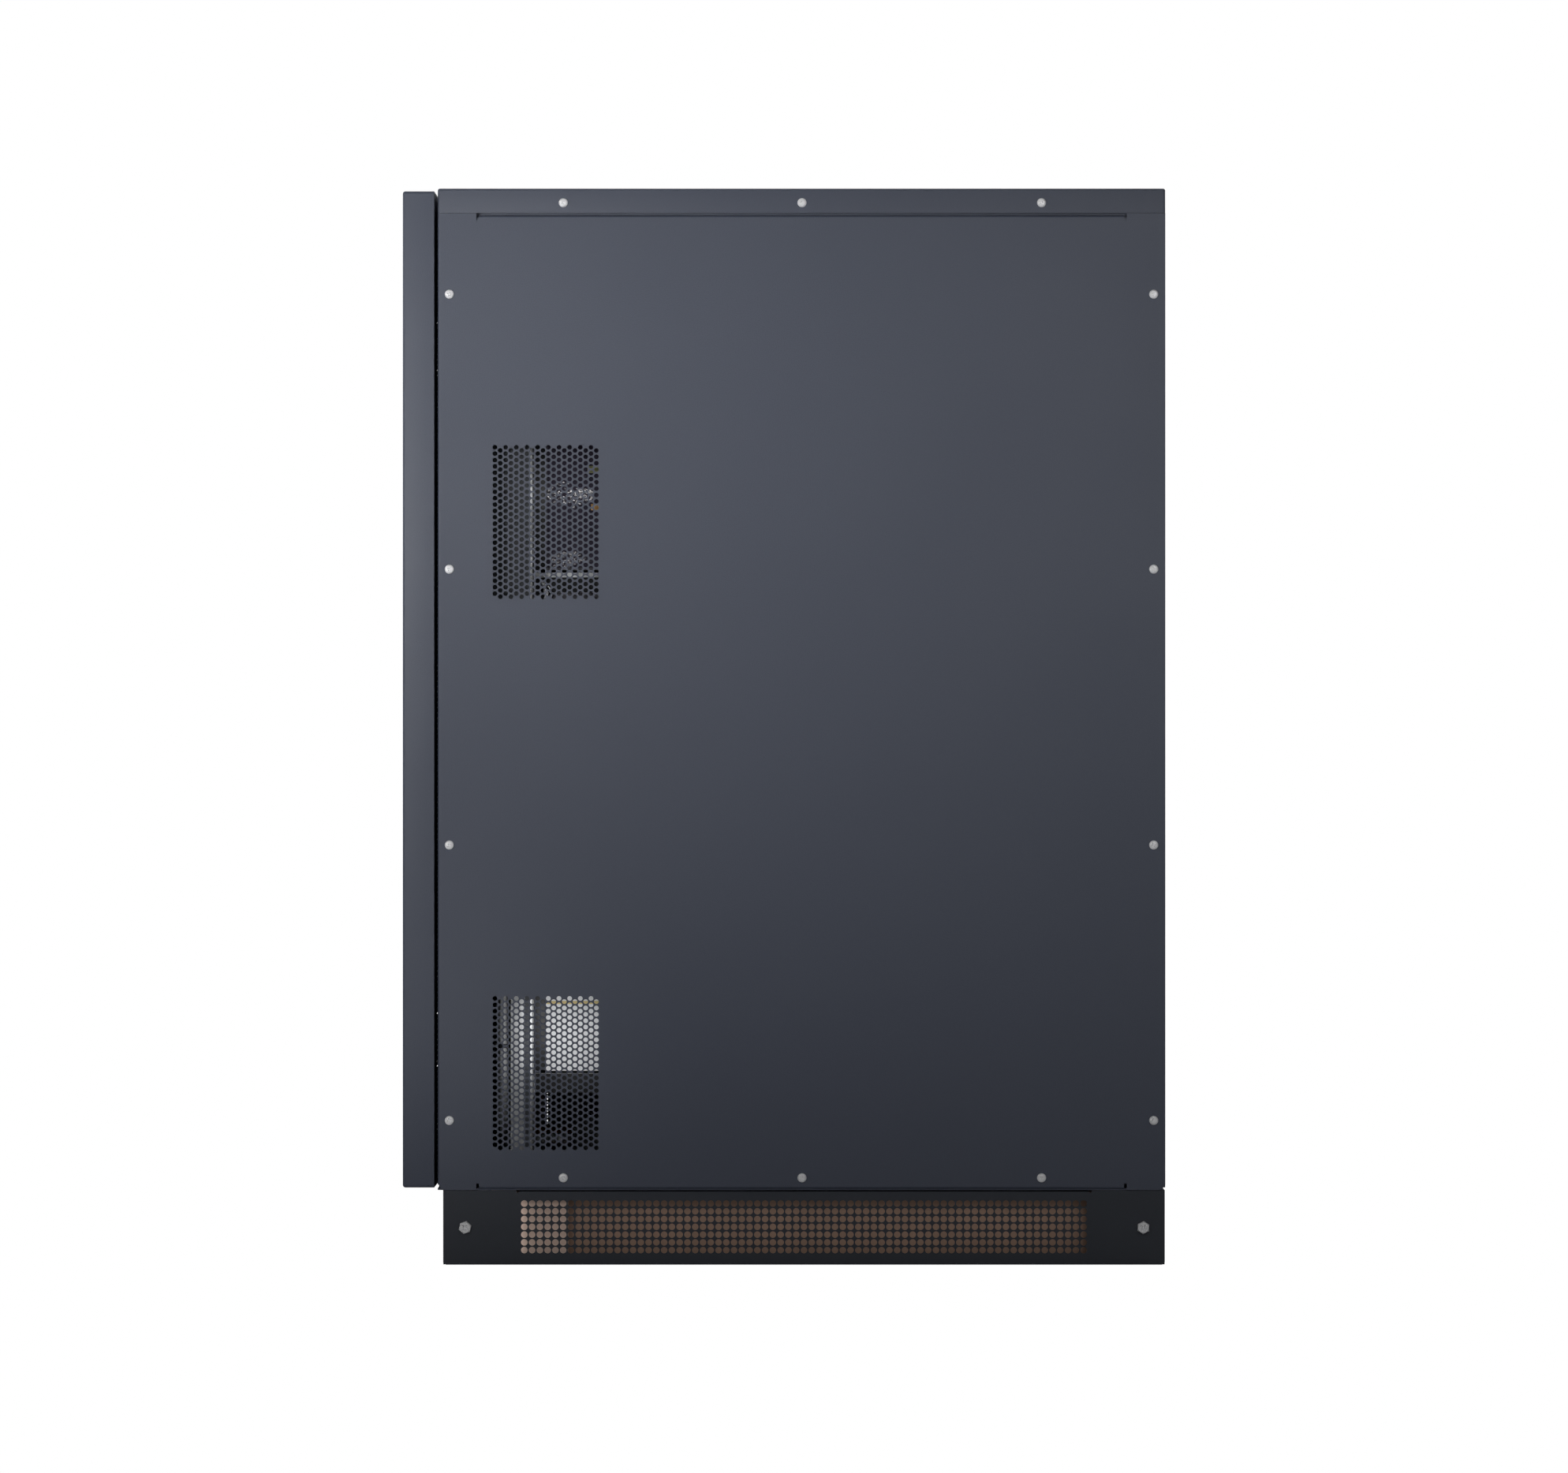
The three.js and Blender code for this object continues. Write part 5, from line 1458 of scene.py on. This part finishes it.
def shelf_shade_and_closing_plates():
    """Black strips on the shelves' sides that paint the shade in the gaps under the modules, and plates that
    close the left side behind the rack.
    """
    bm = bmesh.new()
    for index in range(1, 5):
        low, high = box_of(f"shelf_{index}")
        # Painted shade: a black strip down each shelf's side, up to the module's foot on the first shelf.
        top = high.z - (0.2 if index == 1 else 5.0)
        for side in (-1, 1):
            x = sorted((side * 222.05, side * 222.9))
            add_block(bm, x, (low.y + 6, high.y - 6), (high.z - 22.0, top), 0.2)
    make("shelf_painted_shade", bm, "cabinet", "seal_rubber", RUBBER)
    plates = bmesh.new()
    add_block(plates, (-240, -238.5), (-279.5, -186.0), (90.0, 199.0), 0.4)
    add_block(plates, (-257.0, -255.6), (-346.0, -309.0), (106.0, 336.0), 0.4)
    make("left_closing_plates", plates, "cabinet", "zinc", DULL_ZINC)


frame_parts()
shelf_shade_and_closing_plates()
rack()
for number in range(1, 5):
    battery_module(number)
control_unit()
wiring()
base_terminals()
rear_panel()
fan()
vent_details()


# ---- Studio ----
AMBIENT = 0.015
SOFTBOXES = {  # place, target, size, spread in degrees, power
    "key": ((2.3, -1.2, 1.0), (0.3, -0.35, 1.05), (0.6, 0.6), 60.0, 3.5),
    "right": ((2.3, 0.6, 1.2), (0.3, 0.3, 0.9), (0.6, 0.6), 60.0, 0.5),
    "side": ((3.2, 1.2, 1.4), (0.3, 0.0, 0.7), (2.0, 2.0), 180.0, 12.6),
    "door": ((-0.6, -3.2, 1.8), (0.0, -0.4, 0.6), (2.0, 2.0), 180.0, 38.0),
    "rear": ((-1.5, 3.0, 2.2), (0.0, 0.4, 0.6), (2.0, 2.0), 180.0, 40.0),
    "left": ((-3.2, -0.6, 1.9), (-0.3, 0.0, 0.6), (2.0, 2.0), 180.0, 40.0),
    "plinth_long": ((0.2945, 0.02, 0.042), (0.2, 0.02, 0.042), (0.63, 0.06), 180.0, 0.021),
    "plinth_end": ((0.2945, -0.277, 0.042), (0.2, -0.277, 0.042), (0.055, 0.06), 180.0, 0.0155),
    "door_foot": ((1.8, -0.75, 0.25), (0.3, -0.43, 0.25), (0.2, 0.2), 20.0, 0.03),
    "lower_bay": ((0.2945, -0.25, 0.255), (0.2, -0.25, 0.255), (0.08, 0.08), 180.0, 0.045),
    "upper_bay": ((0.2945, -0.245, 0.862), (0.2, -0.245, 0.862), (0.05, 0.003), 180.0, 0.009),
    "upper_bay_low": ((0.2945, -0.24, 0.79), (0.2, -0.24, 0.80), (0.04, 0.003), 180.0, 0.003),
    "top": ((-0.9, 0.0, 3.2), (0.0, 0.0, 1.2), (1.6, 1.6), 180.0, 25.0),
}


def camera_only(nodes, links, value_seen, value_lit):
    """One strength for what the camera sees directly and another for the light it gives."""
    rays = nodes.new("ShaderNodeLightPath")
    strength = nodes.new("ShaderNodeMapRange")
    strength.inputs["To Min"].default_value = value_lit
    strength.inputs["To Max"].default_value = value_seen
    links.new(rays.outputs["Is Camera Ray"], strength.inputs["Value"])
    return strength.outputs["Result"]


def studio():
    """A white backdrop and floor, and softboxes that the camera doesn't see."""
    scene = bpy.context.scene
    scene.view_settings.view_transform = "Standard"
    world = bpy.data.worlds.new("studio")
    scene.world = world
    world.use_nodes = True
    background = world.node_tree.nodes["Background"]
    background.inputs["Color"].default_value = (1.0, 1.0, 1.0, 1.0)
    strength = camera_only(world.node_tree.nodes, world.node_tree.links, 1.0, AMBIENT)
    world.node_tree.links.new(strength, background.inputs["Strength"])

    bpy.ops.mesh.primitive_plane_add(size=60.0, location=(0.0, 0.0, -0.0005))
    floor = bpy.context.object
    floor.name = "floor"
    paper = bpy.data.materials.new("studio_floor")
    paper.use_nodes = True
    nodes, links = paper.node_tree.nodes, paper.node_tree.links
    white = nodes.new("ShaderNodeEmission")
    matt = nodes["Principled BSDF"]
    matt.inputs["Base Color"].default_value = (0.35, 0.35, 0.35, 1.0)
    matt.inputs["Roughness"].default_value = 0.9
    seen = nodes.new("ShaderNodeMixShader")
    links.new(camera_only(nodes, links, 1.0, 0.0), seen.inputs["Fac"])
    links.new(matt.outputs["BSDF"], seen.inputs[1])
    links.new(white.outputs["Emission"], seen.inputs[2])
    links.new(seen.outputs["Shader"], nodes["Material Output"].inputs["Surface"])
    floor.data.materials.append(paper)

    for name, (place, target, size, spread, power) in SOFTBOXES.items():
        light = bpy.data.lights.new(name, "AREA")
        light.shape = "RECTANGLE"
        light.size, light.size_y = size
        light.spread = math.radians(spread)
        light.energy = power
        lamp = bpy.data.objects.new(name, light)
        scene.collection.objects.link(lamp)
        lamp.location = place
        lamp.rotation_euler = (Vector(target) - Vector(place)).to_track_quat("-Z", "Y").to_euler()
        lamp.visible_camera = False


def camera():
    """A level long-lens view, square on to the right-hand side, a little below the cabinet's mid height."""
    lens, sensor, view_width = 180.0, 36.0, 1.7476
    data = bpy.data.cameras.new("camera")
    data.lens = lens
    data.sensor_width = sensor
    data.clip_end = 60.0
    rig = bpy.data.objects.new("camera", data)
    bpy.context.scene.collection.objects.link(rig)
    rig.location = (HALF * MM + view_width * lens / sensor, 0.0, 0.589)
    rig.rotation_euler = (math.radians(90), 0.0, math.radians(90))
    bpy.context.scene.camera = rig


studio()
camera()
